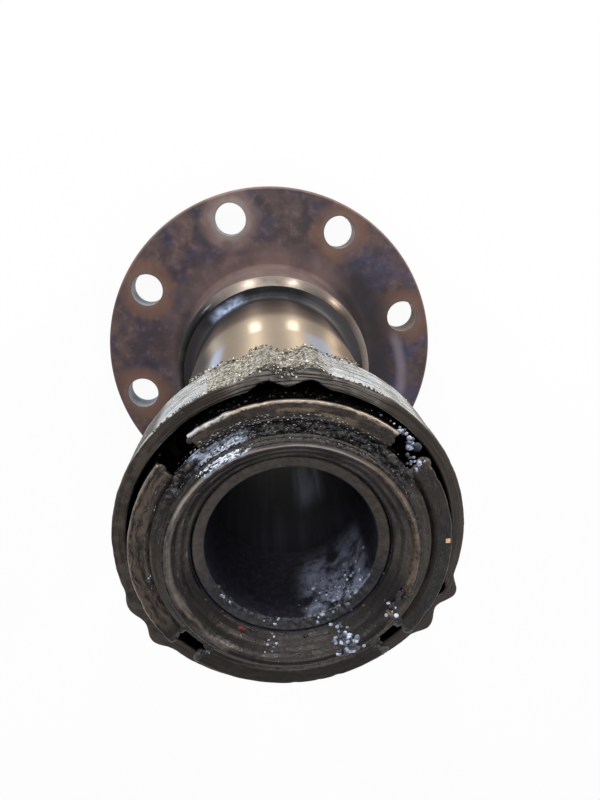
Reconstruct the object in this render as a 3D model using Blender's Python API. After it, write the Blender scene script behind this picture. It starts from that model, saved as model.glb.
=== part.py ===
"""Front axle spindle of a driven steering axle.

The spindle stands on its pilot boss with the threaded nose up. The Z axis is the axle's
centre line, and Z = 0 is the end face of the pilot boss. Lengths are in metres.
"""

import math

import bmesh
import bpy
from mathutils import Matrix

# Running and seating clearance between pieces that touch
CLEARANCE = 0.0003

# Flange that bolts to the steering knuckle
FLANGE_RADIUS = 0.0700
FLANGE_THICKNESS = 0.0100
FLANGE_EDGE = 0.0010
FLANGE_FILLET = 0.0020
BOLT_COUNT = 8
BOLT_EDGE_DISTANCE = 0.0105
BOLT_HOLE_RADIUS = 0.0065
BOLT_FIRST_ANGLE = math.radians(17.3)

# Pilot boss behind the flange, which centres the spindle in the knuckle
PILOT_HOLE_DISTANCE = 0.0070
PILOT_LENGTH = 0.0120
PILOT_CHAMFER = 0.0015

# Threaded nose
THREAD_RADIUS = 0.0254
THREAD_PROTRUSION = 0.0023
THREAD_CHAMFER = 0.0008
UNDERCUT_DEPTH = 0.0008
UNDERCUT_LENGTH = 0.0022
UNDERCUT_SLOPE = 0.0006
NOSE_CREST_WIDTH = 0.0008
NOSE_CONE_DEPTH = 0.0042
KEYWAY_ANGLE = math.radians(-26.0)
KEYWAY_WIDTH = 0.0065
KEYWAY_DEPTH = 0.0026

# Bearing journals and seal land, each a step larger than the last from the thread down
OUTER_JOURNAL_STEP = 0.0026
OUTER_JOURNAL_LENGTH = 0.0595
OUTER_JOURNAL_CHAMFER = 0.0008
JOURNAL_TAPER_LENGTH = 0.0060
INNER_JOURNAL_STEP = 0.0018
INNER_JOURNAL_LENGTH = 0.0367
INNER_JOURNAL_FILLET = 0.0030
LAND_STEP = 0.0079
LAND_LENGTH = 0.0325
LAND_ROUNDING = 0.0030

# Bore, its two bushes and the seal's seat
NOSE_WALL = 0.0068
NOSE_BUSH_BORE_STEP = 0.0014
NOSE_BUSH_LENGTH = 0.0250
NOSE_BUSH_WALL = 0.0027
NOSE_BUSH_FACE_SLOPE = 0.0007
REAR_BUSH_BORE_STEP = 0.0059
REAR_BUSH_LENGTH = 0.0260
REAR_BUSH_WALL = 0.0040
REAR_BUSH_CHAMFER = 0.0008
REAR_BUSH_SETBACK = 0.0020
BORE_CONE_LENGTH = 0.0080
SEAL_BORE_STEP = 0.0055
SEAL_BORE_CHAMFER = 0.0008

# Shaft seal, whose lip is a little smaller than the bush behind it
SEAL_WIDTH = 0.0070
SEAL_CASE_WALL = 0.0016
SEAL_LIP_SQUEEZE = 0.0003
SEAL_LIP_WIDTH = 0.0012
SEAL_SETBACK = 0.0012

# Retainer cup round the nuts
CUP_NUT_GAP = 0.00105
CUP_WALL = 0.0028
CUP_WEB = 0.0026
CUP_HEIGHT = 0.0167
CUP_CORNER = 0.0020
CUP_EDGE = 0.0004
LOBE_ANGLES = [math.radians(angle) for angle in (92.0, 212.0, 332.0)]
LOBE_HALF_WIDTH = math.radians(14.5)
LOBE_HEIGHT = 0.0014

# Nuts and lock washer
NUT_WALL = 0.00635
LOCK_NUT_THICKNESS = 0.0087
ADJUSTING_NUT_THICKNESS = 0.0070
NUT_EDGE = 0.0007
NUT_BORE_CHAMFER = 0.0006
LOCK_NUT_BORE_CHAMFER = 0.0027
SLOT_COUNT = 4
SLOT_WIDTH = 0.0076
SLOT_FLOOR_WALL = 0.0015
LOCK_NUT_SLOT_ANGLE = math.radians(45.5)
ADJUSTING_NUT_SLOT_ANGLE = math.radians(20.0)
WASHER_RIM_SETBACK = 0.00035
WASHER_THICKNESS = 0.0020
WASHER_HOLE_COUNT = 20
WASHER_HOLE_RADIUS = 0.0023
PIN_THREAD_DISTANCE = 0.0032
PIN_RADIUS = 0.0020
PIN_SEAT_DEPTH = 0.0040

# Facets round each kind of turned piece
SPINDLE_SEGMENTS = 72
CUP_SEGMENTS = 144
NUT_SEGMENTS = 60
BUSH_SEGMENTS = 48
BOLT_HOLE_SEGMENTS = 24
SMALL_HOLE_SEGMENTS = 12
FILLET_STEPS = 4
CORNER_STEPS = 2
KEYWAY_END_STEPS = 10
CUTTER_OVERSHOOT = 0.0020
SHARP_ANGLE = math.radians(30.0)

# Radii worked out from the sizes above: the flange's family, then the thread's
BOLT_CIRCLE_RADIUS = FLANGE_RADIUS - BOLT_EDGE_DISTANCE
PILOT_RADIUS = BOLT_CIRCLE_RADIUS - BOLT_HOLE_RADIUS - PILOT_HOLE_DISTANCE
UNDERCUT_RADIUS = THREAD_RADIUS - UNDERCUT_DEPTH
KEYWAY_FLOOR_RADIUS = THREAD_RADIUS - KEYWAY_DEPTH
OUTER_JOURNAL_RADIUS = THREAD_RADIUS + OUTER_JOURNAL_STEP
INNER_JOURNAL_RADIUS = OUTER_JOURNAL_RADIUS + INNER_JOURNAL_STEP
LAND_RADIUS = INNER_JOURNAL_RADIUS + LAND_STEP
BORE_RADIUS = THREAD_RADIUS - NOSE_WALL
NOSE_BUSH_BORE_RADIUS = BORE_RADIUS + NOSE_BUSH_BORE_STEP
NOSE_BUSH_INNER_RADIUS = NOSE_BUSH_BORE_RADIUS - NOSE_BUSH_WALL
REAR_BUSH_BORE_RADIUS = BORE_RADIUS + REAR_BUSH_BORE_STEP
REAR_BUSH_INNER_RADIUS = REAR_BUSH_BORE_RADIUS - REAR_BUSH_WALL
REAR_BUSH_STEP_RADIUS = 0.5 * (REAR_BUSH_BORE_RADIUS + REAR_BUSH_INNER_RADIUS)
SEAL_BORE_RADIUS = REAR_BUSH_BORE_RADIUS + SEAL_BORE_STEP
SEAL_LIP_RADIUS = REAR_BUSH_INNER_RADIUS - SEAL_LIP_SQUEEZE
THREADED_BORE_RADIUS = THREAD_RADIUS + CLEARANCE
NUT_RADIUS = THREAD_RADIUS + NUT_WALL
SLOT_FLOOR_RADIUS = THREAD_RADIUS + SLOT_FLOOR_WALL
WASHER_RADIUS = NUT_RADIUS - WASHER_RIM_SETBACK
PIN_CIRCLE_RADIUS = THREAD_RADIUS + PIN_THREAD_DISTANCE
CUP_RADIUS = NUT_RADIUS + CUP_NUT_GAP + CUP_WALL

# Heights worked out from the sizes above, from the pilot boss up
FLANGE_TOP = PILOT_LENGTH + FLANGE_THICKNESS
LAND_TOP = FLANGE_TOP + LAND_LENGTH
TAPER_START = LAND_TOP + INNER_JOURNAL_LENGTH
TAPER_END = TAPER_START + JOURNAL_TAPER_LENGTH
THREAD_SHOULDER = TAPER_END + OUTER_JOURNAL_LENGTH
CUP_BASE = THREAD_SHOULDER + CLEARANCE
ADJUSTING_NUT_BASE = CUP_BASE + CUP_WEB + CLEARANCE
WASHER_BASE = ADJUSTING_NUT_BASE + ADJUSTING_NUT_THICKNESS + CLEARANCE
LOCK_NUT_BASE = WASHER_BASE + WASHER_THICKNESS + CLEARANCE
NOSE_TOP = LOCK_NUT_BASE + LOCK_NUT_THICKNESS + THREAD_PROTRUSION
NOSE_CONE_END = NOSE_TOP - NOSE_CONE_DEPTH
NOSE_BUSH_TOP = NOSE_CONE_END - CLEARANCE
NOSE_BUSH_BASE = NOSE_BUSH_TOP - NOSE_BUSH_LENGTH
NOSE_BUSH_SEAT = NOSE_BUSH_BASE - CLEARANCE
SEAL_TOP = SEAL_SETBACK + SEAL_WIDTH
SEAL_SEAT = SEAL_TOP + CLEARANCE
REAR_BUSH_BASE = SEAL_SEAT + REAR_BUSH_SETBACK
REAR_BUSH_TOP = REAR_BUSH_BASE + REAR_BUSH_LENGTH
REAR_BUSH_SEAT = REAR_BUSH_TOP + CLEARANCE


def clear_scene():
    """Remove every object that the file starts with."""
    for existing in list(bpy.data.objects):
        bpy.data.objects.remove(existing, do_unlink=True)


def make_material(name, colour, roughness, metallic):
    """Return a Principled BSDF material with one colour and finish."""
    material = bpy.data.materials.new(name)
    material.use_nodes = True
    shader = material.node_tree.nodes["Principled BSDF"]
    shader.inputs["Base Color"].default_value = (*colour, 1.0)
    shader.inputs["Roughness"].default_value = roughness
    shader.inputs["Metallic"].default_value = metallic
    return material


def section_arc(centre_radius, centre_height, radius, start, end, steps):
    """Return the points of an arc in the section plane, with angles in degrees."""
    points = []
    for step in range(steps + 1):
        angle = math.radians(start + (end - start) * step / steps)
        points.append((centre_radius + radius * math.cos(angle), centre_height + radius * math.sin(angle)))
    return points


def finish_object(name, bm, material=None):
    """Turn a bmesh into an object with outward faces and smooth round surfaces."""
    bmesh.ops.recalc_face_normals(bm, faces=bm.faces)
    mesh = bpy.data.meshes.new(name)
    bm.to_mesh(mesh)
    bm.free()
    mesh.shade_smooth()
    mesh.set_sharp_from_angle(angle=SHARP_ANGLE)
    if material is not None:
        mesh.materials.append(material)
    piece = bpy.data.objects.new(name, mesh)
    bpy.context.scene.collection.objects.link(piece)
    return piece


def turned_mesh(section, segments):
    """Spin a closed section of (radius, height) points about Z."""
    bm = bmesh.new()
    verts = [bm.verts.new((radius, 0.0, height)) for radius, height in section]
    edges = [bm.edges.new((verts[i - 1], verts[i])) for i in range(len(verts))]
    bmesh.ops.spin(
        bm,
        geom=verts + edges,
        cent=(0.0, 0.0, 0.0),
        axis=(0.0, 0.0, 1.0),
        angle=2.0 * math.pi,
        steps=segments,
        use_merge=True,
    )
    return bm


def turned(name, section, segments, material, base=0.0):
    """Make a turned ring whose section is measured from its own base."""
    piece = finish_object(name, turned_mesh(section, segments), material)
    piece.location.z = base
    return piece


def add_cylinder(bm, radius, low, high, segments, placement):
    """Add a closed cylinder between two heights, moved by a matrix."""
    middle = Matrix.Translation((0.0, 0.0, 0.5 * (low + high)))
    bmesh.ops.create_cone(
        bm,
        cap_ends=True,
        segments=segments,
        radius1=radius,
        radius2=radius,
        depth=high - low,
        matrix=placement @ middle,
    )


def add_radial_block(bm, angle, width, inner_radius, outer_radius, low, high):
    """Add a block that reaches outward along one direction."""
    size = Matrix.Diagonal((outer_radius - inner_radius, width, high - low, 1.0))
    middle = Matrix.Translation((0.5 * (inner_radius + outer_radius), 0.0, 0.5 * (low + high)))
    bmesh.ops.create_cube(bm, size=1.0, matrix=Matrix.Rotation(angle, 4, "Z") @ middle @ size)


def add_boolean(piece, tool, operation):
    """Cut or join a piece with a tool body that is not itself part of the model."""
    tool.hide_render = True
    tool.display_type = "WIRE"
    modifier = piece.modifiers.new(tool.name, "BOOLEAN")
    modifier.operation = operation
    modifier.solver = "EXACT"
    modifier.object = tool


def circle_placements(count, circle_radius, first_angle):
    """Return a matrix for each place round a circle."""
    placements = []
    for index in range(count):
        turn = Matrix.Rotation(first_angle + 2.0 * math.pi * index / count, 4, "Z")
        placements.append(turn @ Matrix.Translation((circle_radius, 0.0, 0.0)))
    return placements


def bore_section():
    """Return the spindle's inner outline from the nose down to the pilot's end face."""
    crest_outer = THREAD_RADIUS - THREAD_CHAMFER
    return [
        (crest_outer - NOSE_CREST_WIDTH, NOSE_TOP),
        (NOSE_BUSH_BORE_RADIUS, NOSE_CONE_END),
        (NOSE_BUSH_BORE_RADIUS, NOSE_BUSH_SEAT),
        (BORE_RADIUS, NOSE_BUSH_SEAT),
        (BORE_RADIUS, REAR_BUSH_SEAT + BORE_CONE_LENGTH),
        (REAR_BUSH_STEP_RADIUS, REAR_BUSH_SEAT),
        (REAR_BUSH_BORE_RADIUS, REAR_BUSH_SEAT),
        (REAR_BUSH_BORE_RADIUS, SEAL_SEAT),
        (SEAL_BORE_RADIUS, SEAL_SEAT),
        (SEAL_BORE_RADIUS, SEAL_BORE_CHAMFER),
        (SEAL_BORE_RADIUS + SEAL_BORE_CHAMFER, 0.0),
    ]


def journal_section():
    """Return the spindle's outer outline from the pilot's end face up to the nose."""
    outline = [
        (PILOT_RADIUS - PILOT_CHAMFER, 0.0),
        (PILOT_RADIUS, PILOT_CHAMFER),
        (PILOT_RADIUS, PILOT_LENGTH),
        (FLANGE_RADIUS - FLANGE_EDGE, PILOT_LENGTH),
        (FLANGE_RADIUS, PILOT_LENGTH + FLANGE_EDGE),
        (FLANGE_RADIUS, FLANGE_TOP - FLANGE_EDGE),
        (FLANGE_RADIUS - FLANGE_EDGE, FLANGE_TOP),
    ]
    outline += section_arc(
        LAND_RADIUS + FLANGE_FILLET, FLANGE_TOP + FLANGE_FILLET, FLANGE_FILLET, 270.0, 180.0, CORNER_STEPS
    )
    outline += section_arc(
        LAND_RADIUS - LAND_ROUNDING, LAND_TOP - LAND_ROUNDING, LAND_ROUNDING, 0.0, 90.0, FILLET_STEPS
    )
    outline += section_arc(
        INNER_JOURNAL_RADIUS + INNER_JOURNAL_FILLET,
        LAND_TOP + INNER_JOURNAL_FILLET,
        INNER_JOURNAL_FILLET,
        270.0,
        180.0,
        FILLET_STEPS,
    )
    outline += [
        (INNER_JOURNAL_RADIUS, TAPER_START),
        (OUTER_JOURNAL_RADIUS, TAPER_END),
        (OUTER_JOURNAL_RADIUS, THREAD_SHOULDER - OUTER_JOURNAL_CHAMFER),
        (OUTER_JOURNAL_RADIUS - OUTER_JOURNAL_CHAMFER, THREAD_SHOULDER),
        (UNDERCUT_RADIUS, THREAD_SHOULDER),
        (UNDERCUT_RADIUS, THREAD_SHOULDER + UNDERCUT_LENGTH),
        (THREAD_RADIUS, THREAD_SHOULDER + UNDERCUT_LENGTH + UNDERCUT_SLOPE),
        (THREAD_RADIUS, NOSE_TOP - THREAD_CHAMFER),
        (THREAD_RADIUS - THREAD_CHAMFER, NOSE_TOP),
    ]
    return outline


def make_bolt_hole_cutter():
    """Make the eight cylinders that drill the flange."""
    bm = bmesh.new()
    for placement in circle_placements(BOLT_COUNT, BOLT_CIRCLE_RADIUS, BOLT_FIRST_ANGLE):
        add_cylinder(
            bm,
            BOLT_HOLE_RADIUS,
            PILOT_LENGTH - CUTTER_OVERSHOOT,
            FLANGE_TOP + CUTTER_OVERSHOOT,
            BOLT_HOLE_SEGMENTS,
            placement,
        )
    return finish_object("bolt_hole_cutter", bm)


def make_keyway_cutter():
    """Make the end-milled keyway: a block with a round end, reaching out of the nose."""
    round_end = THREAD_SHOULDER + UNDERCUT_LENGTH + 0.5 * KEYWAY_WIDTH
    half_width = 0.5 * KEYWAY_WIDTH
    top = NOSE_TOP + CUTTER_OVERSHOOT
    outline = [(-half_width, top), (half_width, top)]
    for step in range(KEYWAY_END_STEPS + 1):
        angle = -math.pi * step / KEYWAY_END_STEPS
        outline.append((half_width * math.cos(angle), round_end + half_width * math.sin(angle)))
    bm = bmesh.new()
    floor = bm.faces.new([bm.verts.new((KEYWAY_FLOOR_RADIUS, across, height)) for across, height in outline])
    depth = THREAD_RADIUS + CUTTER_OVERSHOOT - KEYWAY_FLOOR_RADIUS
    pulled = bmesh.ops.extrude_face_region(bm, geom=[floor])
    moved = [item for item in pulled["geom"] if isinstance(item, bmesh.types.BMVert)]
    bmesh.ops.translate(bm, verts=moved, vec=(depth, 0.0, 0.0))
    cutter = finish_object("keyway_cutter", bm)
    cutter.rotation_euler.z = KEYWAY_ANGLE
    return cutter


def make_spindle():
    """Turn the spindle, drill its flange and mill the keyway."""
    steel = make_material("spindle_steel", (0.17, 0.13, 0.12), 0.38, 1.0)
    spindle = turned("spindle", journal_section() + bore_section(), SPINDLE_SEGMENTS, steel)
    add_boolean(spindle, make_bolt_hole_cutter(), "DIFFERENCE")
    add_boolean(spindle, make_keyway_cutter(), "DIFFERENCE")
    return spindle


def lobe_rise(angle):
    """Return how far the cup's wall stands out at an angle: two humps side by side at each lobe."""
    for centre in LOBE_ANGLES:
        offset = math.remainder(angle - centre, 2.0 * math.pi)
        if abs(offset) < LOBE_HALF_WIDTH:
            return 0.5 * LOBE_HEIGHT * (1.0 - math.cos(2.0 * math.pi * offset / LOBE_HALF_WIDTH))
    return 0.0


def make_retainer_cup():
    """Turn a thin cup with a web at its base, then press three double lobes out of its wall."""
    inner_radius = CUP_RADIUS - CUP_WALL
    section = [(THREADED_BORE_RADIUS, 0.0)]
    section += section_arc(CUP_RADIUS - CUP_CORNER, CUP_CORNER, CUP_CORNER, 270.0, 360.0, CORNER_STEPS)
    section += [
        (CUP_RADIUS, CUP_HEIGHT - CUP_EDGE),
        (CUP_RADIUS - CUP_EDGE, CUP_HEIGHT),
        (inner_radius + CUP_EDGE, CUP_HEIGHT),
        (inner_radius, CUP_HEIGHT - CUP_EDGE),
        (inner_radius, CUP_WEB),
        (THREADED_BORE_RADIUS, CUP_WEB),
    ]
    bm = turned_mesh(section, CUP_SEGMENTS)
    for vert in bm.verts:
        radius = math.hypot(vert.co.x, vert.co.y)
        share = min(1.0, (radius - THREADED_BORE_RADIUS) / (inner_radius - THREADED_BORE_RADIUS))
        pressed = radius + share * lobe_rise(math.atan2(vert.co.y, vert.co.x))
        vert.co.x *= pressed / radius
        vert.co.y *= pressed / radius
    cup = finish_object("retainer_cup", bm, make_material("cup_steel", (0.30, 0.29, 0.27), 0.35, 1.0))
    cup.location.z = CUP_BASE
    return cup


def nut_section(thickness, front_bore_chamfer):
    """Return a round nut's section, with its front face at the top."""
    return [
        (THREADED_BORE_RADIUS + NUT_BORE_CHAMFER, 0.0),
        (NUT_RADIUS - NUT_EDGE, 0.0),
        (NUT_RADIUS, NUT_EDGE),
        (NUT_RADIUS, thickness - NUT_EDGE),
        (NUT_RADIUS - NUT_EDGE, thickness),
        (THREADED_BORE_RADIUS + front_bore_chamfer, thickness),
        (THREADED_BORE_RADIUS, thickness - front_bore_chamfer),
        (THREADED_BORE_RADIUS, NUT_BORE_CHAMFER),
    ]


def make_slot_cutter(name, base, thickness, first_angle):
    """Make the blocks that mill the spanner slots across a nut's rim."""
    bm = bmesh.new()
    for index in range(SLOT_COUNT):
        add_radial_block(
            bm,
            first_angle + 2.0 * math.pi * index / SLOT_COUNT,
            SLOT_WIDTH,
            SLOT_FLOOR_RADIUS,
            NUT_RADIUS + CUTTER_OVERSHOOT,
            base - CUTTER_OVERSHOOT,
            base + thickness + CUTTER_OVERSHOOT,
        )
    return finish_object(name, bm)


def make_lock_nut():
    """Make the outer four-slot nut, whose deep bore chamfer shows round the nose."""
    steel = make_material("lock_nut_steel", (0.10, 0.085, 0.075), 0.45, 0.9)
    section = nut_section(LOCK_NUT_THICKNESS, LOCK_NUT_BORE_CHAMFER)
    nut = turned("lock_nut", section, NUT_SEGMENTS, steel, LOCK_NUT_BASE)
    cutter = make_slot_cutter("lock_nut_slots", LOCK_NUT_BASE, LOCK_NUT_THICKNESS, LOCK_NUT_SLOT_ANGLE)
    add_boolean(nut, cutter, "DIFFERENCE")
    return nut


def pin_angle():
    """Return the direction of the dowel, opposite the washer's tongue."""
    return KEYWAY_ANGLE + math.pi


def make_adjusting_nut():
    """Make the inner four-slot nut with the blind hole that its dowel sits in."""
    steel = make_material("adjusting_nut_steel", (0.14, 0.12, 0.11), 0.45, 0.9)
    section = nut_section(ADJUSTING_NUT_THICKNESS, NUT_BORE_CHAMFER)
    nut = turned("adjusting_nut", section, NUT_SEGMENTS, steel, ADJUSTING_NUT_BASE)
    slots = make_slot_cutter(
        "adjusting_nut_slots", ADJUSTING_NUT_BASE, ADJUSTING_NUT_THICKNESS, ADJUSTING_NUT_SLOT_ANGLE
    )
    add_boolean(nut, slots, "DIFFERENCE")
    nut_top = ADJUSTING_NUT_BASE + ADJUSTING_NUT_THICKNESS
    bm = bmesh.new()
    add_cylinder(
        bm,
        PIN_RADIUS + CLEARANCE,
        nut_top - PIN_SEAT_DEPTH - CLEARANCE,
        nut_top + CUTTER_OVERSHOOT,
        SMALL_HOLE_SEGMENTS,
        circle_placements(1, PIN_CIRCLE_RADIUS, pin_angle())[0],
    )
    add_boolean(nut, finish_object("pin_hole_cutter", bm), "DIFFERENCE")
    return nut


def make_nut_pin():
    """Make the dowel that stands in the adjusting nut and reaches through the washer."""
    bm = bmesh.new()
    nut_top = ADJUSTING_NUT_BASE + ADJUSTING_NUT_THICKNESS
    add_cylinder(
        bm,
        PIN_RADIUS,
        nut_top - PIN_SEAT_DEPTH,
        WASHER_BASE + WASHER_THICKNESS,
        SMALL_HOLE_SEGMENTS,
        circle_placements(1, PIN_CIRCLE_RADIUS, pin_angle())[0],
    )
    return finish_object("nut_pin", bm, make_material("pin_steel", (0.45, 0.45, 0.45), 0.35, 1.0))


def make_lock_washer():
    """Make the flat washer with its keyway tongue and its ring of dowel holes."""
    steel = make_material("washer_steel", (0.25, 0.24, 0.22), 0.4, 1.0)
    section = [
        (THREADED_BORE_RADIUS, 0.0),
        (WASHER_RADIUS, 0.0),
        (WASHER_RADIUS, WASHER_THICKNESS),
        (THREADED_BORE_RADIUS, WASHER_THICKNESS),
    ]
    washer = turned("lock_washer", section, NUT_SEGMENTS, steel, WASHER_BASE)
    washer_top = WASHER_BASE + WASHER_THICKNESS
    tongue = bmesh.new()
    add_radial_block(
        tongue,
        KEYWAY_ANGLE,
        KEYWAY_WIDTH - 2.0 * CLEARANCE,
        KEYWAY_FLOOR_RADIUS + CLEARANCE,
        THREADED_BORE_RADIUS + WASHER_THICKNESS,
        WASHER_BASE,
        washer_top,
    )
    add_boolean(washer, finish_object("tongue_blank", tongue), "UNION")
    holes = bmesh.new()
    for placement in circle_placements(WASHER_HOLE_COUNT, PIN_CIRCLE_RADIUS, pin_angle()):
        add_cylinder(
            holes,
            WASHER_HOLE_RADIUS,
            WASHER_BASE - CUTTER_OVERSHOOT,
            washer_top + CUTTER_OVERSHOOT,
            SMALL_HOLE_SEGMENTS,
            placement,
        )
    add_boolean(washer, finish_object("washer_hole_cutter", holes), "DIFFERENCE")
    return washer


def make_nose_bush():
    """Make the bush in the nose, whose face slopes down to the bore."""
    outer = NOSE_BUSH_BORE_RADIUS - CLEARANCE
    section = [
        (outer, 0.0),
        (outer, NOSE_BUSH_LENGTH),
        (NOSE_BUSH_INNER_RADIUS, NOSE_BUSH_LENGTH - NOSE_BUSH_FACE_SLOPE),
        (NOSE_BUSH_INNER_RADIUS, 0.0),
    ]
    bronze = make_material("nose_bush_bronze", (0.16, 0.12, 0.09), 0.6, 0.6)
    return turned("nose_bush", section, BUSH_SEGMENTS, bronze, NOSE_BUSH_BASE)


def make_rear_bush():
    """Make the bush in the flange end that carries the axle shaft."""
    outer = REAR_BUSH_BORE_RADIUS - CLEARANCE
    section = [
        (REAR_BUSH_INNER_RADIUS + REAR_BUSH_CHAMFER, 0.0),
        (outer - REAR_BUSH_CHAMFER, 0.0),
        (outer, REAR_BUSH_CHAMFER),
        (outer, REAR_BUSH_LENGTH),
        (REAR_BUSH_INNER_RADIUS, REAR_BUSH_LENGTH),
        (REAR_BUSH_INNER_RADIUS, REAR_BUSH_CHAMFER),
    ]
    bronze = make_material("rear_bush_bronze", (0.42, 0.27, 0.12), 0.4, 0.9)
    return turned("rear_bush", section, BUSH_SEGMENTS, bronze, REAR_BUSH_BASE)


def make_shaft_seal():
    """Make the lip seal pressed in the mouth of the bore: a cased ring with a thin inner lip."""
    outer = SEAL_BORE_RADIUS - CLEARANCE
    case_inner = outer - SEAL_CASE_WALL
    lip_root = SEAL_LIP_RADIUS + 2.0 * SEAL_LIP_WIDTH
    section = [
        (lip_root, 0.0),
        (outer, 0.0),
        (outer, SEAL_WIDTH),
        (case_inner, SEAL_WIDTH),
        (case_inner, SEAL_CASE_WALL),
        (lip_root + SEAL_LIP_WIDTH, SEAL_CASE_WALL),
        (SEAL_LIP_RADIUS + SEAL_LIP_WIDTH, SEAL_WIDTH - SEAL_CASE_WALL),
        (SEAL_LIP_RADIUS, SEAL_WIDTH - 2.0 * SEAL_CASE_WALL),
    ]
    rubber = make_material("seal_rubber", (0.03, 0.03, 0.03), 0.7, 0.0)
    return turned("shaft_seal", section, BUSH_SEGMENTS, rubber, SEAL_SETBACK)


def build():
    """Build every sub-part of the spindle."""
    clear_scene()
    make_spindle()
    make_retainer_cup()
    make_adjusting_nut()
    make_nut_pin()
    make_lock_washer()
    make_lock_nut()
    make_nose_bush()
    make_rear_bush()
    make_shaft_seal()


build()
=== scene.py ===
"""Visual model of a used front axle spindle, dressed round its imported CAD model.

The spindle stands on its pilot boss with the nose up. +Y is the top of the picture.
Lengths are in metres and angles round the centre line run from +X towards +Y.
"""

from math import asin, atan2, cos, hypot, pi, radians, remainder, sin, sqrt

import bmesh
import bpy
import numpy as np
from mathutils import Matrix, Vector, noise


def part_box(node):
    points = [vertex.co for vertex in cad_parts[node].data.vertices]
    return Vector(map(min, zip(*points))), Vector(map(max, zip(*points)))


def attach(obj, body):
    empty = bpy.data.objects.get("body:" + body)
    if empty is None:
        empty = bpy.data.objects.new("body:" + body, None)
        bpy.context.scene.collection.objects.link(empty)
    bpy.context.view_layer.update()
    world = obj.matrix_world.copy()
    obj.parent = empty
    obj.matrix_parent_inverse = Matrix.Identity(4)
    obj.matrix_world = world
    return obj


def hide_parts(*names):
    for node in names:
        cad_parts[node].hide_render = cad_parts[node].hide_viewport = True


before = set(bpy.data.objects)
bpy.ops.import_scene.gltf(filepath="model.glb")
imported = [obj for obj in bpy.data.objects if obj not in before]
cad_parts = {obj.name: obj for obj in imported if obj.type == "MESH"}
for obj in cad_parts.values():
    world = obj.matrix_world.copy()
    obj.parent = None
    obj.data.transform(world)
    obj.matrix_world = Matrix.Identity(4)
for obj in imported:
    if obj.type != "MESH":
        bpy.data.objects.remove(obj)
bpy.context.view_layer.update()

MM = 0.001
TURN = 2.0 * pi

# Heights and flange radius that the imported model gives
NOSE_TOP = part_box("spindle")[1].z
CUP_BASE, CUP_TOP = (corner.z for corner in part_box("retainer_cup"))
NUT_BASE, NUT_TOP = (corner.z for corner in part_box("lock_nut"))
BUSH_BASE, BUSH_TOP = (corner.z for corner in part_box("nose_bush"))
FLANGE_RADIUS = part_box("spindle")[1].x

# Spindle
PILOT_RADIUS = 46.0 * MM
PILOT_LENGTH = 12.0 * MM
PILOT_CHAMFER = 1.5 * MM
FLANGE_TOP = 22.0 * MM
FLANGE_EDGE = 1.0 * MM
FLANGE_FILLET = 2.0 * MM
LAND_RADIUS = 37.7 * MM
LAND_TOP = 54.5 * MM
LAND_ROUNDING = 3.0 * MM
LAND_FLATNESS = 1.3
JOURNAL_RADIUS = 29.8 * MM
JOURNAL_FILLET = 3.0 * MM
TAPER_START = 91.2 * MM
TAPER_END = 97.2 * MM
TAPER_BLEND = 2.5 * MM
OUTER_JOURNAL_RADIUS = 28.0 * MM
THREAD_SHOULDER = 156.7 * MM
THREAD_RADIUS = 25.4 * MM
THREAD_PITCH = MM * 25.4 / 16
THREAD_DEPTH = 0.8 * MM
CREST_OUTER = 24.6 * MM
CREST_INNER = 23.8 * MM
CREST_EDGE = 0.2 * MM
CONE_DEPTH = 4.2 * MM
NOSE_EDGE = 0.8 * MM
BUSH_SEAT_RADIUS = 20.0 * MM
BORE_RADIUS = 18.6 * MM
BORE_FLARE_RADIUS = 22.5 * MM
BORE_FLARE_TOP = 44.8 * MM
REAR_SEAT_RADIUS = 24.5 * MM
REAR_SEAT_TOP = 36.8 * MM
SEAL_SEAT_RADIUS = 30.0 * MM
SEAL_SEAT_TOP = 8.5 * MM
SEAT_CLEARANCE = 0.3 * MM
BOLT_COUNT = 8
BOLT_CIRCLE = 59.5 * MM
BOLT_HOLE = 6.5 * MM
BOLT_FIRST = radians(17.3)
KEYWAY_ANGLE = radians(-26.0)
KEYWAY_WIDTH = 6.5 * MM
KEYWAY_FLOOR = 22.8 * MM
KEYWAY_END = 158.9 * MM

# Retainer cup and nut
CUP_RADIUS = 35.6 * MM
CUP_WALL = 2.8 * MM
CUP_WEB = 2.6 * MM
CUP_CORNER = 2.0 * MM
CUP_EDGE = 0.4 * MM
LOBE_HALF_WIDTH = radians(14.5)
# Middle angle of each lobe and the heights of its two humps
LOBES = [
    (radians(92.0), 1.4 * MM, 1.4 * MM),
    (radians(212.0), 1.05 * MM, 1.7 * MM),
    (radians(332.0), 1.9 * MM, 2.3 * MM),
]
NUT_RADIUS = 31.75 * MM
NUT_BORE = 25.7 * MM
GREASE_EDGE = NUT_BORE + 2.1 * MM
NUT_EDGE = 0.5 * MM
NUT_BORE_CHAMFER = 2.7 * MM
SLOT_HALF_WIDTH = 3.8 * MM
SLOT_FLOOR = 26.9 * MM
SLOT_FIRST = radians(45.5)
BUSH_INNER_RADIUS = 17.3 * MM
BUSH_OUTER_RADIUS = 19.7 * MM
BUSH_SLOPE = 0.7 * MM

# Camera, fitted to the photograph
CAMERA_PLACE = (-0.0072, 0.0659, 0.2791)
CAMERA_RIGHT = (0.99727, 0.02364, 0.06991)
CAMERA_UP = (0.0, 0.94733, -0.32027)
CAMERA_BACK = (-0.0738, 0.3194, 0.9447)
CAMERA_LENS = 27.0
CAMERA_SENSOR = 36.0

# Edges sharper than this stay sharp: on plain pieces, on worn ones and on the grease
SHARP_ANGLE = radians(35.0)
WORN_ANGLE = radians(50.0)
GREASE_ANGLE = radians(60.0)

CUP_SEGMENTS = 480
BUSH_SEGMENTS = 420
GREASE_SEGMENTS = 520

# Patches that make turning marks wander, in millimetres
WANDER_SIZE = 4

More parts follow.
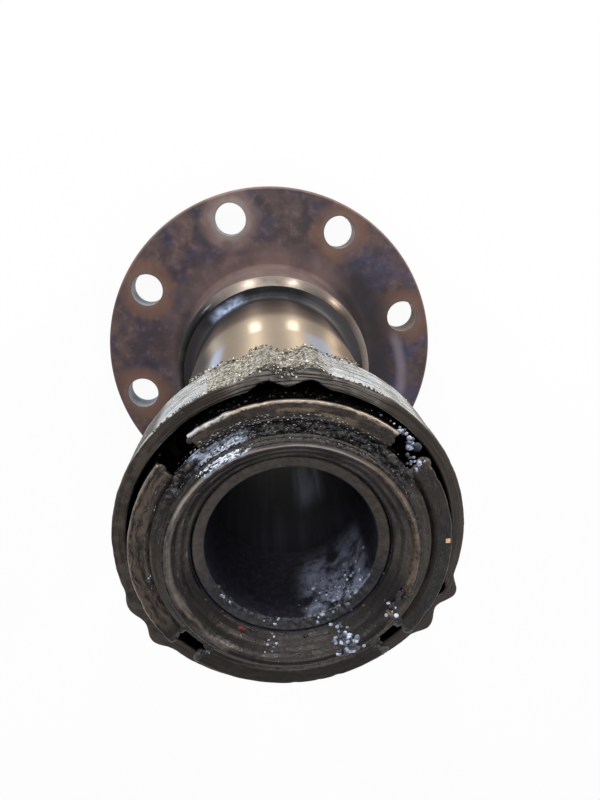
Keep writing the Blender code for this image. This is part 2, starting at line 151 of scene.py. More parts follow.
# Share of plain white that camera, glossy and transmission rays see in the floor, and its own colour
FLOOR_GLOW = 0.92
FLOOR_COLOUR = (0.86, 0.86, 0.86, 1.0)
FLOOR_SIDE = 8.0

# Sky: the levels between which it dims, and its strength below and above them
SKY_COLOUR = (0.97, 0.98, 1.0, 1.0)
SKY_LOW = 0.15
SKY_HIGH = 0.75
SKY_AT_HORIZON = 0.85
SKY_OVERHEAD = 0.32


# Colours and shader nodes


def srgb(colour):
    """Return a linear colour for a display colour given as 0 to 255."""
    channels = []
    for value in colour:
        share = value / 255.0
        channels.append(share / 12.92 if share <= 0.04045 else ((share + 0.055) / 1.055) ** 2.4)
    return (*channels, 1.0)


def feed(socket, value):
    """Link a socket to another node's output, or give it a value: three numbers are a display colour."""
    if isinstance(value, bpy.types.NodeSocket):
        socket.id_data.links.new(value, socket)
    elif socket.type == "RGBA" and len(value) == 3:
        socket.default_value = srgb(value)
    else:
        socket.default_value = value


def add_node(tree, kind, values=None, **settings):
    """Add a shader node with its settings and what goes into its inputs."""
    node = tree.nodes.new(kind)
    for key, value in settings.items():
        setattr(node, key, value)
    for key, value in (values or {}).items():
        feed(node.inputs[key], value)
    return node


class Finish:
    """One procedural material, built up node by node.

    Pattern sizes and relief are in millimetres, angles in degrees and colours from 0 to 255.
    """

    def __init__(self, name, **settings):
        self.material = bpy.data.materials.new(name)
        self.material.use_nodes = True
        self.shader = self.material.node_tree.nodes["Principled BSDF"]
        self.colour = None
        for key, value in settings.items():
            self.shader.inputs[key.replace("_", " ")].default_value = value
        self.position = self.add("ShaderNodeTexCoord").outputs["Object"]
        self.x, self.y, self.z = self.add("ShaderNodeSeparateXYZ", {0: self.position}).outputs
        flat = self.add("ShaderNodeCombineXYZ", {0: self.x, 1: self.y}).outputs[0]
        self.radius = self.add("ShaderNodeVectorMath", {0: flat}, operation="LENGTH").outputs["Value"]
        self.angle = self.math("ARCTAN2", self.y, self.x)

    def add(self, kind, values=None, **settings):
        """Add a node to this material."""
        return add_node(self.material.node_tree, kind, values, **settings)

    def math(self, operation, *values):
        """Work out one operation on numbers or on other nodes' outputs."""
        return self.add("ShaderNodeMath", dict(enumerate(values)), operation=operation).outputs[0]

    def times(self, *values):
        """Multiply values; masks multiplied are 1 only where all of them are."""
        result = values[0]
        for value in values[1:]:
            result = self.math("MULTIPLY", result, value)
        return result

    def noise(self, size, detail=3.0, roughness=0.5, distortion=0.0, vector=None):
        """Cloudy pattern whose patches are about the given size across."""
        values = {"Scale": 1.0 / (size * MM), "Detail": detail, "Roughness": roughness}
        values |= {"Distortion": distortion, "Vector": self.position if vector is None else vector}
        return self.add("ShaderNodeTexNoise", values).outputs[0]

    def other(self, size, detail=3.0, roughness=0.5):
        """A second cloudy pattern that is independent of the first."""
        moved = self.add("ShaderNodeVectorMath", {0: self.position, 1: (0.37, 0.71, 0.53)}, operation="ADD")
        return self.noise(size, detail, roughness, vector=moved.outputs[0])

    def lines(self, radial, axial, turns, detail=2.0, roughness=0.5, wander=0.0):
        """Turning marks: a pattern that is fine across the tool marks and long round the centre line."""
        cosine = self.math("DIVIDE", self.x, self.radius)
        sine = self.math("DIVIDE", self.y, self.radius)
        across = self.times(self.radius, 1.0 / (radial * MM))
        if wander:
            across = self.math("ADD", across, self.times(self.noise(WANDER_SIZE), wander / radial))
        parts = {0: self.times(cosine, turns), 1: self.times(sine, turns), 2: across}
        values = {"Scale": 1.0, "Detail": detail, "Roughness": roughness}
        values["Vector"] = self.add("ShaderNodeCombineXYZ", parts).outputs[0]
        values["W"] = self.times(self.z, 1.0 / (axial * MM))
        return self.add("ShaderNodeTexNoise", values, noise_dimensions="4D").outputs[0]

    def each(self):
        """A random number between 0 and 1 for every separate lump of a piece."""
        return self.add("ShaderNodeNewGeometry").outputs["Random Per Island"]

    def band(self, value, low, high, low_result=0.0, high_result=1.0):
        """Smooth step of a value from one level to another."""
        values = {0: value, 1: low, 2: high, 3: low_result, 4: high_result}
        return self.add("ShaderNodeMapRange", values, interpolation_type="SMOOTHSTEP").outputs[0]

    def ring(self, value, centre, half_width, softness):
        """1 close to a centre value, 0 away from it."""
        away = self.math("ABSOLUTE", self.math("SUBTRACT", value, centre))
        return self.band(away, half_width, half_width + softness, 1.0, 0.0)

    def sector(self, start, end, softness):
        """1 between two angles in degrees, 0 outside them."""
        turned = self.math("SUBTRACT", self.angle, radians(0.5 * (start + end)))
        away = self.math("ABSOLUTE", self.math("WRAP", turned, pi, -pi))
        half = radians(0.5 * (end - start))
        return self.band(away, half, half + radians(softness), 1.0, 0.0)

    def mix(self, share, first, second):
        """Mix two colours by the second one's share."""
        values = {"Factor": share, 6: first, 7: second}
        return self.add("ShaderNodeMix", values, data_type="RGBA").outputs[2]

    def blend(self, value, low, high, first, second):
        """Go from one colour to another between two levels of a value."""
        return self.mix(self.band(value, low, high), first, second)

    def lay(self, tint, *masks):
        """Lay a tint over the base colour, where all the masks let it through."""
        self.colour = self.mix(self.times(*masks), self.colour, tint)

    def bump(self, height, distance):
        """Add surface relief on top of any that is there already."""
        normal = self.shader.inputs["Normal"]
        values = {"Height": height, "Distance": distance * MM, "Strength": 1.0}
        if normal.is_linked:
            values["Normal"] = normal.links[0].from_socket
        feed(normal, self.add("ShaderNodeBump", values).outputs[0])

    def brushed(self, amount, rotation):
        """Stretch highlights across the marks that turning leaves round the centre line."""
        self.shader.inputs["Anisotropic"].default_value = amount
        self.shader.inputs["Anisotropic Rotation"].default_value = rotation
        tangent = self.add("ShaderNodeTangent", direction_type="RADIAL", axis="Z")
        feed(self.shader.inputs["Tangent"], tangent.outputs[0])

    def done(self, roughness=None, metallic=None):
        """Connect the base colour, with roughness and metallic where given, and return the material."""
        for name, value in (("Base Color", self.colour), ("Roughness", roughness), ("Metallic", metallic)):
            if value is not None:
                feed(self.shader.inputs[name], value)
        return self.material


# Materials


def flange_scale():
    """Heat-tinted scale on the flange: soft purple, blue and brown clouds, faint rings round the holes."""
    f = Finish("flange_scale", Metallic=0.3)
    clouds = f.noise(13, 2.0, 0.5, 0.4)
    mottle = f.noise(6, 2.0, 0.5, 0.3)
    tint = f.other(12, 2.0)
    f.colour = f.blend(clouds, 0.36, 0.64, (60, 49, 58), (84, 67, 66))
    f.lay((54, 52, 74), f.band(tint, 0.48, 0.64), 0.75)
    f.lay((42, 35, 43), f.band(mottle, 0.48, 0.72), 0.6)
    f.lay((102, 80, 76), f.band(mottle, 0.5, 0.28), 0.45)
    cool_side = f.times(f.sector(-12, 52, 16), f.band(tint, 0.36, 0.56), 0.55)
    f.lay((70, 66, 92), cool_side)
    f.lay((46, 38, 44), f.sector(74, 106, 14), 0.3)
    marble = f.other(4, 4.0, 0.6)
    f.lay((48, 39, 46), f.band(marble, 0.5, 0.62), 0.5)
    f.lay((118, 96, 94), f.band(marble, 0.46, 0.34), 0.35)
    outer = f.band(f.radius, 60 * MM, 69 * MM)
    f.lay((100, 80, 74), outer, f.band(tint, 0.62, 0.42), 0.25)
    # Distance to the nearest hole's axis, by folding the angle into one eighth of a turn
    step = TURN / BOLT_COUNT
    folded = f.math("WRAP", f.math("SUBTRACT", f.angle, BOLT_FIRST), 0.5 * step, -0.5 * step)
    along = f.math("SUBTRACT", f.times(f.radius, f.math("COSINE", folded)), BOLT_CIRCLE)
    across = f.times(f.radius, f.math("SINE", folded))
    squares = f.math("ADD", f.times(along, along), f.times(across, across))
    away = f.math("ADD", f.math("SQRT", squares), f.times(f.math("SUBTRACT", mottle, 0.5), 3 * MM))
    grey_side = f.sector(95, 130, 14)
    halo = f.times(f.ring(away, 9.5 * MM, 0.3 * MM, 4.5 * MM), f.band(tint, 0.66, 0.4, 0.5, 0.75))
    f.lay(f.mix(grey_side, (110, 80, 66), (122, 102, 98)), halo)
    edge = f.times(f.band(away, 10.0 * MM, 6.8 * MM), 0.75)
    f.lay(f.mix(grey_side, (112, 88, 78), (138, 126, 122)), edge)
    # Pinkish zone near the land, then a darker one low on the right
    near_land = f.times(f.band(f.radius, 53 * MM, 38 * MM), 0.75)
    f.lay(f.blend(clouds, 0.35, 0.65, (90, 72, 70), (112, 90, 86)), near_land)
    dark_right_low = f.times(f.band(f.radius, 64 * MM, 46 * MM), f.sector(-35, 36, 26))
    f.lay((32, 27, 32), dark_right_low, 0.85)
    # Painted shade on the flange just left of the land
    shade = f.times(f.band(f.radius, 46 * MM, 39 * MM), f.sector(156, 200, 12))
    f.lay((36, 32, 36), shade, 0.7)
    rim = f.times(
        f.band(f.radius, FLANGE_RADIUS - 1.1 * MM, FLANGE_RADIUS - 0.4 * MM), f.sector(-10, 150, 20)
    )
    f.lay((134, 108, 96), rim, 0.45)
    bent = f.math("ADD", f.radius, f.times(f.angle, 14 * MM))
    smear = f.times(f.ring(bent, 57 * MM, 0.2 * MM, 3.4 * MM), f.sector(-14, 6, 8))
    f.lay((142, 132, 144), smear, 0.5)
    # Walls of the holes
    normal = f.add("ShaderNodeNewGeometry").outputs["Normal"]
    upright = f.add("ShaderNodeSeparateXYZ", {0: normal}).outputs[2]
    near_holes = f.ring(f.radius, BOLT_CIRCLE, BOLT_HOLE + 0.8 * MM, 0.5 * MM)
    wall = f.times(f.band(f.math("ABSOLUTE", upright), 0.6, 0.3), near_holes)
    inside = f.mix(f.sector(-10, 80, 6), (128, 132, 144), (112, 96, 86))
    f.lay(inside, wall)
    f.bump(mottle, 0.1)
    roughness = f.math(
        "MAXIMUM", f.band(mottle, 0.3, 0.7, 0.44, 0.6), f.band(f.radius, 46 * MM, 41 * MM, 0.0, 0.9)
    )
    return f.done(roughness, f.band(f.radius, 41 * MM, 46 * MM, 0.0, 0.3))


def land_steel():
    """Land that the seal runs on: its rounded end is painted pale at the top and right and dark on the left,
    as light and shade; its side is stained like the flange.
    """
    f = Finish("land_steel", Coat_Weight=0.4, Coat_Roughness=0.2)
    f.brushed(0.98, 0.25)
    clouds = f.noise(13, 2.0, 0.5, 0.4)
    worn = f.noise(5, 3.0)
    # Painted light and shade on the rounded end: dark on the left, pale at the top and the right
    f.colour = f.mix(f.sector(4, 62, 20), (30, 27, 28), (124, 109, 98))
    f.lay((148, 137, 129), f.sector(66, 122, 14))
    f.lay((164, 148, 138), f.sector(-12, 26, 14))
    f.lay((84, 72, 66), f.band(worn, 0.5, 0.66), 0.3)
    end = f.band(f.z, LAND_TOP - 6.5 * MM, LAND_TOP - 2.2 * MM)
    stain = f.blend(clouds, 0.35, 0.65, (84, 67, 66), (104, 84, 80))
    stain = f.mix(f.sector(-40, 50, 24), stain, (52, 43, 42))
    roughness = f.band(end, 0.0, 1.0, 0.85, 0.43)
    f.colour = f.mix(end, stain, f.colour)
    return f.done(roughness, f.band(end, 0.2, 1.0))


def journal_steel():
    """Bearing journals: painted shade near the shoulder, brightest from the taper outwards, with painted
    highlight spots and streaks there.
    """
    f = Finish("journal_steel", Roughness=0.47)
    f.brushed(0.96, 0.25)
    marks = f.lines(0.15, 0.15, 1.5, 3.0, 0.6)
    f.colour = f.blend(f.z, TAPER_START, TAPER_END + 6 * MM, (160, 147, 131), (152, 139, 124))
    f.lay((110, 98, 88), f.band(marks, 0.58, 0.75), 0.15)
    # Painted highlight: pale hot spots where the two upper lamps' streaks cross the taper
    brightened = f.times(
        f.math("MAXIMUM", f.sector(104, 106, 5), f.sector(80.5, 82.5, 5)),
        f.ring(f.z, 96 * MM, 1 * MM, 5 * MM),
    )
    f.lay((206, 196, 178), brightened, 0.8)
    f.lay((140, 114, 98), f.sector(20, 48, 12), 0.5)
    # Painted shade on the journal's left side
    f.lay((78, 78, 82), f.sector(146, 215, 12), 0.85)
    # Painted bluish highlight streaks past the taper
    cool = f.math("MAXIMUM", f.sector(130, 134, 6), f.sector(64, 68, 10))
    f.lay((168, 180, 206), cool, f.band(f.z, 94 * MM, 106 * MM), 0.6)
    # Painted shade on the journal towards the shoulder
    f.lay((90, 78, 71), f.band(f.z, TAPER_START + 6 * MM, TAPER_START - 14 * MM))
    f.lay((60, 55, 54), f.band(f.z, TAPER_START - 12 * MM, LAND_TOP + 7 * MM))
    return f.done(None, 1.0)


def shoulder_oil():
    """Blue-black oil film on the turned face between land and journal, with a painted bluish reflection at
    the upper left.
    """
    f = Finish("shoulder_oil", Metallic=0.6)
    marks = f.lines(0.25, 0.25, 2.0, 3.0)
    patches = f.noise(2.4, 3.0)
    f.colour = f.blend(patches, 0.4, 0.7, (22, 23, 28), (38, 38, 44))
    f.lay((80, 77, 80), f.sector(16, 60, 16), 0.7)
    f.lay((50, 46, 49), f.sector(150, 200, 12))
    # Painted bluish reflection of a lamp on the face
    blue = f.times(f.sector(121, 127, 14), f.ring(f.radius, 32.0 * MM, 0.3 * MM, 2.2 * MM))
    f.lay((162, 177, 208), blue, f.band(patches, 0.34, 0.6, 0.35, 1.0))
    inner = f.band(f.z, LAND_TOP + 0.8 * MM, LAND_TOP + 3 * MM)
    f.lay((54, 50, 50), inner)
    f.bump(marks, 0.01)
    return f.done(f.band(marks, 0.3, 0.7, 0.42, 0.54))


def nose_steel():
    """Nose end: worn crest, then a dark wet cone with soft turned ridges, painted shade low down and painted
    glints.
    """
    f = Finish("nose_steel", Metallic=0.45)
    streaks = f.lines(1.5, 1.7, 1.6, 3.0, 0.55, 1.5)
    film = f.noise(1.8, 4.0, 0.6)
    f.colour = f.blend(streaks, 0.34, 0.66, (42, 38, 39), (74, 67, 63))
    f.lay((32, 29, 32), f.band(film, 0.46, 0.66), 0.6)
    grit = f.noise(0.6, 4.0, 0.65)
    f.lay((100, 86, 76), f.band(grit, 0.54, 0.66), 0.35)
    f.lay((18, 16, 18), f.band(grit, 0.46, 0.34), 0.4)
    # Painted shade on the lower side of the nose
    f.lay((22, 17, 17), f.sector(-160, -25, 26), 0.9)
    glints = f.times(f.band(f.lines(0.3, 0.4, 9.0, 2.0), 0.62, 0.7), f.sector(60, 190, 24))
    f.lay((168, 156, 148), glints, 0.35)
    f.lay((96, 88, 88), f.sector(55, 125, 16), f.band(streaks, 0.44, 0.62), 0.45)
    # Worn crest: grey at the top, broad and silvery on the left, bronze brown on the right
    height = f.band(f.z, NOSE_TOP - 0.6 * MM, NOSE_TOP - 0.15 * MM)
    ragged = f.math("ADD", f.radius, f.times(f.math("SUBTRACT", streaks, 0.5), 1.2 * MM))
    left = f.times(f.sector(112, 232, 12), f.band(ragged, 22.9 * MM, 23.5 * MM))
    top = f.times(f.sector(20, 150, 16), f.ring(ragged, 24.05 * MM, 0.12 * MM, 0.25 * MM), height)
    right = f.times(f.sector(-30, 52, 12), f.band(ragged, 23.0 * MM, 23.6 * MM))
    worn = f.blend(film, 0.3, 0.7, (98, 90, 85), (146, 136, 130))
    f.lay((96, 88, 84), f.sector(30, 150, 16), height, 0.6)
    f.lay((176, 164, 156), top, 0.85)
    f.lay(worn, left, f.band(streaks, 0.34, 0.56), 0.55)
    f.lay(f.blend(film, 0.35, 0.6, (64, 54, 47), (116, 98, 82)), right, 0.75)
    # Painted silvery glint at the upper left of the crest
    silver_glint = f.times(f.sector(114, 130, 6), f.band(f.radius, 23.4 * MM, 24.2 * MM), f.band(film, 0.36, 0.5))
    f.lay((176, 186, 208), silver_glint, 0.8)
    # Painted small reddish glint at the cone's foot
    red_glint = f.times(
        f.ring(f.radius, 20.7 * MM, 0.05 * MM, 0.35 * MM),
        f.sector(-120, -118, 2.5),
        f.band(film, 0.4, 0.55),
    )
    f.lay((150, 48, 50), red_glint, 0.8)
    # Painted shade in the step at the cone's foot
    step = f.band(f.radius, 20.5 * MM, 20.1 * MM)
    f.lay((12, 11, 13), step, 0.85)
    f.bump(grit, 0.05)
    f.bump(film, 0.16)
    return f.done(f.band(film, 0.35, 0.7, 0.26, 0.46))


def keyway_steel():
    """Bare tan steel of the keyway."""
    f = Finish("keyway_steel", Metallic=0.3)
    film = f.noise(1.2, 4.0, 0.65)
    f.bump(film, 0.1)
    f.colour = f.blend(film, 0.36, 0.64, (78, 66, 56), (134, 114, 94))
    return f.done(0.5)


def thread_grease():
    """Dark greasy thread."""
    f = Finish("thread_grease", Metallic=0.4)
    film = f.noise(0.9, 4.0, 0.65)
    f.colour = f.blend(film, 0.45, 0.65, (20, 18, 20), (58, 50, 46))
    f.bump(film, 0.15)
    return f.done(f.band(film, 0.35, 0.65, 0.25, 0.5))


def oil_black(f, film):
    """Near-black oil with faint blue in it."""
    return f.blend(film, 0.4, 0.7, (25, 24, 34), (46, 45, 58))


def bore_oil():
    """Blue-black oil in the bore, with a painted soft grey gleam on the wall that faces the camera."""
    f = Finish("bore_oil", Metallic=0.0)
    stretched = f.add("ShaderNodeMapping", {"Vector": f.position, "Scale": (1.0, 1.0, 0.06)}).outputs[0]
    runs = f.noise(2.2, 3.0, 0.6, vector=stretched)
    f.colour = oil_black(f, runs)
    # Painted gleam on the wall that faces the camera
    gleam = f.times(
        f.ring(f.z, 112 * MM, 5 * MM, 16 * MM), f.sector(-68, -56, 12), f.band(runs, 0.3, 0.6, 0.4, 1.0)
    )
    f.lay((168, 174, 192), gleam)
    f.bump(runs, 0.05)
    return f.done(0.62)


def cup_wall():
    """Cup's outer wall: olive grime over steel that is bare in two places, painted very bright there as a
    highlight.
    """
    f = Finish("cup_wall")
    marks = f.lines(0.35, 0.25, 4.0, 3.0, 0.6)
    grime = f.noise(0.8, 4.0, 0.7)
    patches = f.noise(4, 3.0, 0.6)
    steel = f.blend(marks, 0.38, 0.62, (88, 89, 94), (240, 245, 252))
    dirt = f.blend(grime, 0.42, 0.6, (38, 35, 29), (172, 169, 158))
    brown = f.blend(patches, 0.4, 0.6, (44, 39, 35), (80, 72, 62))
    dirt = f.mix(f.sector(66, 128, 10), brown, dirt)
    # Bare steel in two places, painted near white there as a highlight too
    bright_left = f.sector(121, 133, 6)
    bright_right = f.times(f.sector(50, 76, 8), 0.8)
    brightened = f.times(f.math("MAXIMUM", bright_left, bright_right), f.band(patches, 0.62, 0.46, 0.35, 1.0))
    f.colour = f.mix(brightened, dirt, steel)
    f.bump(grime, 0.25)
    f.bump(marks, 0.06)
    roughness = f.math("ADD", 0.52, f.times(brightened, -0.18))
    return f.done(roughness, f.math("ADD", 0.2, f.times(brightened, 0.6)))


def cup_rim():
    """Cup's sawn rim: dark brown with fine marks, palest at the top lobe."""
    f = Finish("cup_rim", Metallic=0.4)
    marks = f.lines(0.3, 0.3, 2.5, 3.0, 0.6, 0.5)
    film = f.noise(2.5, 3.0)
    f.colour = f.blend(marks, 0.35, 0.65, (38, 33, 30), (68, 58, 51))
    left = f.times(f.sector(150, 210, 20), f.band(film, 0.4, 0.62))
    f.lay((100, 92, 84), left, 0.35)
    lobe = f.times(f.sector(66, 106, 10), f.band(film, 0.35, 0.6, 0.4, 1.0))
    scraped = f.blend(marks, 0.42, 0.58, (42, 37, 35), (158, 152, 146))
    f.lay(scraped, lobe, 0.6)
    # Painted highlight along the rounded rim edge on the upper side
    rounded = f.band(f.z, CUP_TOP - 0.06 * MM, CUP_TOP - 0.2 * MM)
    bright = f.times(rounded, f.sector(52, 140, 14), f.band(marks, 0.42, 0.56))
    f.lay((190, 188, 184), bright, 0.85)
    f.bump(marks, 0.04)
    return f.done(f.band(film, 0.3, 0.7, 0.4, 0.56))


def dark_hollow(name):
    """Near-black and dry-looking deep between the nut and the cup, as painted shade in the gap, with lumpy
    relief.
    """
    f = Finish(name, Metallic=1.0)
    lumps = f.noise(0.7, 4.0, 0.65)
    f.bump(lumps, 0.2)
    f.colour = f.blend(lumps, 0.42, 0.7, (7, 6, 8), (18, 16, 18))
    return f.done(0.75)


def groove_film():
    """Grease in the groove round the nose: black and glittering at the top with a painted silvery glint at
    the upper left, brown and smooth elsewhere.
    """
    f = Finish("groove_film", Metallic=0.0, IOR=1.5)
    lumps = f.noise(0.7, 4.0, 0.65)
    streaks = f.lines(0.7, 0.9, 2.5, 3.0, 0.6)
    wet = f.lines(0.45, 0.6, 9.0, 3.0, 0.6, 0.8)
    black = f.blend(lumps, 0.46, 0.7, (20, 19, 22), (98, 92, 92))
    # Painted silvery glint on the grease at the upper left
    silver_glint = f.times(f.sector(113, 131, 6), f.band(wet, 0.4, 0.58))
    black = f.mix(f.times(silver_glint, 0.9), black, (168, 180, 206))
    brown = f.blend(streaks, 0.38, 0.62, (34, 30, 28), (68, 59, 50))
    upper = f.sector(40, 146, 16)
    f.bump(lumps, 0.22)
    f.bump(wet, 0.1)
    f.colour = f.mix(upper, brown, black)
    return f.done(f.mix(upper, (0.5, 0.5, 0.5, 1.0), (0.2, 0.2, 0.2, 1.0)))


def nut_steel():
    """Lock nut: dark brown oily face with broken scratches, worn pale along its upper outer edge; painted
    shade in the slots, down its sides and low on the right, painted glints at the upper left.
    """
    f = Finish("nut_steel")
    streaks = f.lines(0.9, 0.9, 6.0, 4.0, 0.65, 3)
    scratches = f.lines(0.22, 0.3, 7.0, 2.0, 0.5, 0.8)
    film = f.noise(1.3, 4.0, 0.65)
    patches = f.noise(3.2, 4.0, 0.65)
    grit = f.noise(0.4, 3.0, 0.6)
    f.colour = f.blend(streaks, 0.38, 0.62, (36, 31, 29), (76, 65, 56))
    stain = f.blend(grit, 0.4, 0.6, (26, 23, 23), (54, 47, 43))
    f.lay(stain, f.band(patches, 0.46, 0.56), 0.85)
    # Real scratches, painted pale as a highlight only on the side the lamps light
    lit = f.sector(40, 215, 25)
    lit_scratches = f.times(f.band(scratches, 0.6, 0.7), lit, f.band(patches, 0.58, 0.44), 0.8)
    f.lay((132, 120, 110), lit_scratches)
    # Painted shade low on the right
    f.lay((29, 23, 20), f.sector(-165, 20, 20), 0.75)
    upper = f.sector(50, 136, 14)
    left = f.sector(150, 205, 15)
    f.lay((110, 96, 84), left, f.band(streaks, 0.42, 0.58), 0.5)
    ragged = f.math("ADD", f.radius, f.times(f.math("SUBTRACT", film, 0.5), 1.3 * MM))
    share = f.math("MAXIMUM", upper, f.times(left, 0.5))
    wear = f.times(
        f.band(ragged, 31.15 * MM, 31.45 * MM), f.band(f.z, NUT_TOP - 0.6 * MM, NUT_TOP - 0.3 * MM), share
    )
    f.lay((150, 137, 124), wear, f.band(streaks, 0.36, 0.56, 0.35, 1.0))
    # Painted silvery glint on the upper left edge
    silver_glint = f.times(f.band(ragged, 30.9 * MM, 31.3 * MM), f.sector(115, 128, 4), f.band(streaks, 0.4, 0.56))
    f.lay((196, 196, 200), silver_glint, 0.8)
    first_patch = f.times(f.ring(ragged, 30.0 * MM, 0.25 * MM, 0.2 * MM), f.sector(84.5, 95.5, 2))
    second_patch = f.times(f.ring(ragged, 28.9 * MM, 0.7 * MM, 0.4 * MM), f.sector(69, 80, 3))
    arc = f.times(f.ring(f.radius, 28.45 * MM, 0.08 * MM, 0.12 * MM), f.sector(77, 103, 3))
    brightened = f.math("MAXIMUM", first_patch, second_patch)
    f.lay((116, 100, 84), brightened, f.band(streaks, 0.36, 0.5, 0.3, 0.85))
    f.lay((176, 162, 148), arc, 0.7)
    dot = f.times(f.ring(f.radius, 30.8 * MM, 0.4 * MM, 0.1 * MM), f.sector(3.8, 5.3, 0.3))
    f.lay((226, 184, 150), dot)
    greasy = f.times(f.band(ragged, 29.8 * MM, 28.2 * MM), f.band(film, 0.35, 0.5), f.sector(60, 150, 15))
    f.lay(f.blend(grit, 0.4, 0.62, (18, 17, 20), (56, 51, 50)), greasy, 0.8)
    # Deep in the slots and below the face it is painted black as shade
    upper_half = f.sector(10, 170, 10)
    painted_deep_shade = f.times(f.band(f.z, NUT_TOP - 0.7 * MM, NUT_TOP - 1.2 * MM), upper_half)
    painted_deep_shade = f.math("MAXIMUM", painted_deep_shade, f.band(f.z, NUT_TOP - 0.9 * MM, NUT_TOP - 3.4 * MM))
    f.lay((4, 4, 6), painted_deep_shade)
    f.bump(streaks, 0.08)
    f.bump(grit, 0.05)
    f.bump(film, 0.06)
    roughness = f.math("MAXIMUM", f.band(film, 0.3, 0.7, 0.28, 0.5), painted_deep_shade)
    return f.done(roughness, f.band(painted_deep_shade, 0.0, 1.0, 0.4, 1.0))


def bush_bronze():
    """Brown oiled bronze of the nose bush, darker towards the bottom, black with blue-grey grease down its
    bore.
    """
    f = Finish("bush_bronze_dull", Metallic=0.1)
    film = f.noise(1.2, 4.0, 0.65)
    soft = f.noise(4, 3.0)
    f.colour = f.blend(film, 0.38, 0.62, (48, 42, 38), (68, 59, 52))
    # Darker towards the bottom
    low = f.blend(film, 0.42, 0.6, (18, 17, 21), (38, 37, 43))
    f.lay(low, f.sector(-150, -20, 24))
    inside = f.band(f.radius, BUSH_INNER_RADIUS + 0.35 * MM, BUSH_INNER_RADIUS + 0.1 * MM)
    wall = oil_black(f, film)
    cloud = f.times(
        f.sector(-70, -30, 16), f.band(soft, 0.34, 0.58), f.band(f.z, BUSH_BASE, BUSH_BASE + 12 * MM)
    )
    wall = f.mix(f.times(cloud, f.band(film, 0.28, 0.62, 0.45, 1.0)), wall, (150, 157, 180))
    f.lay(wall, inside)
    f.bump(film, 0.16)
    return f.done(0.5)


def crumb_grit():
    """Olive grey crumbs of grease and metal, a few of them painted near white as glints."""
    f = Finish("crumb_grit")
    each = f.each()
    clumps = f.noise(1.5, 3.0, 0.6)
    f.colour = f.blend(each, 0.0, 0.75, (22, 20, 17), (176, 170, 152))
    # Painted glints: the brightest crumbs near white
    f.lay((226, 226, 218), f.band(each, 0.88, 1.0))
    f.lay((44, 42, 32), f.sector(60, 96, 8), f.band(each, 0.97, 0.95), 0.4)
    # Painted shade in the hollows between clumps of crumbs
    shaded_hollows = f.times(f.band(clumps, 0.52, 0.42), f.band(each, 0.97, 0.95), 0.75)
    f.lay((40, 37, 30), shaded_hollows)
    hung = f.times(f.band(f.z, CUP_TOP - 1.6 * MM, CUP_TOP - 0.6 * MM), f.band(each, 0.93, 0.9), 0.75)
    f.lay((30, 27, 24), hung)
    return f.done(0.5)


def gap_grit():
    """Dark crumbs between the nut and the cup."""
    f = Finish("gap_grit", Metallic=1.0)
    each = f.each()
    f.colour = f.blend(each, 0.5, 1.0, (12, 10, 11), (62, 57, 54))
    return f.done(0.7)


def wet_grease():
    """Small beads of wet grease, painted pale and bluish as highlights."""
    f = Finish("wet_grease", Metallic=0.0, IOR=1.5)
    each = f.each()
    film = f.noise(0.5, 2.0)
    # Painted highlight colour of the beads
    pale = f.blend(film, 0.35, 0.65, (120, 128, 150), (202, 211, 232))
    f.colour = f.blend(each, 0.25, 1.0, (46, 48, 60), pale)
    return f.done(0.3)


def dark_grease():
    """Wet dark grease, lumpy along the bush's lower edge."""
    f = Finish("dark_grease", Metallic=0.0, IOR=1.5)
    each = f.each()
    f.colour = f.blend(each, 0.2, 1.0, (24, 21, 21), (56, 50, 48))
    return f.done(0.45)


def glitter():
    """Tiny wet facets on the black grease, a share of them painted pale as glints."""
    f = Finish("glitter", Metallic=0.3, IOR=1.5)
    each = f.each()
    # Painted glints: a share of the facets pale
    f.colour = f.blend(each, 0.45, 1.0, (26, 25, 27), (184, 184, 188))
    # Painted silvery glints at the upper left
    silver_glint = f.times(f.sector(112, 132, 5), f.band(f.radius, 27.4 * MM, 27.0 * MM), f.band(each, 0.1, 0.6))
    f.lay((222, 230, 245), silver_glint)
    return f.done(0.3)


def plain_steel(name, dark, light, roughness, metallic):
    """Oily steel of the hidden nut, washer and dowel; near-black colours given for it also stand for painted
    shade.
    """
    f = Finish(name, Metallic=metallic)
    marks = f.lines(0.25, 0.3, 3.0, 3.0, 0.6)
    film = f.noise(2.2, 4.0, 0.6)
    f.colour = f.blend(film, 0.4, 0.6, dark, light)
    f.bump(marks, 0.03)
    f.bump(film, 0.1)
    return f.done(f.band(film, 0.3, 0.7, roughness - 0.1, roughness + 0.1))


def rear_bronze():
    """Cleaner bronze of the rear bush."""
    f = Finish("rear_bronze", Metallic=0.85)
    marks = f.lines(0.25, 0.3, 2.0, 3.0)
    film = f.noise(4, 3.0)
    f.colour = f.blend(film, 0.4, 0.6, (122, 94, 62), (160, 126, 84))
    f.bump(marks, 0.02)
    return f.done(f.band(film, 0.3, 0.7, 0.32, 0.48))


def seal_rubber():
    """Black seal with a slight grain."""
    f = Finish("seal_black", Metallic=0.0)
    grain = f.noise(0.5, 3.0)
    f.colour = f.blend(grain, 0.35, 0.65, (26, 26, 27), (40, 39, 40))
    f.bump(grain, 0.05)
    return f.done(f.band(grain, 0.3, 0.7, 0.55, 0.75))


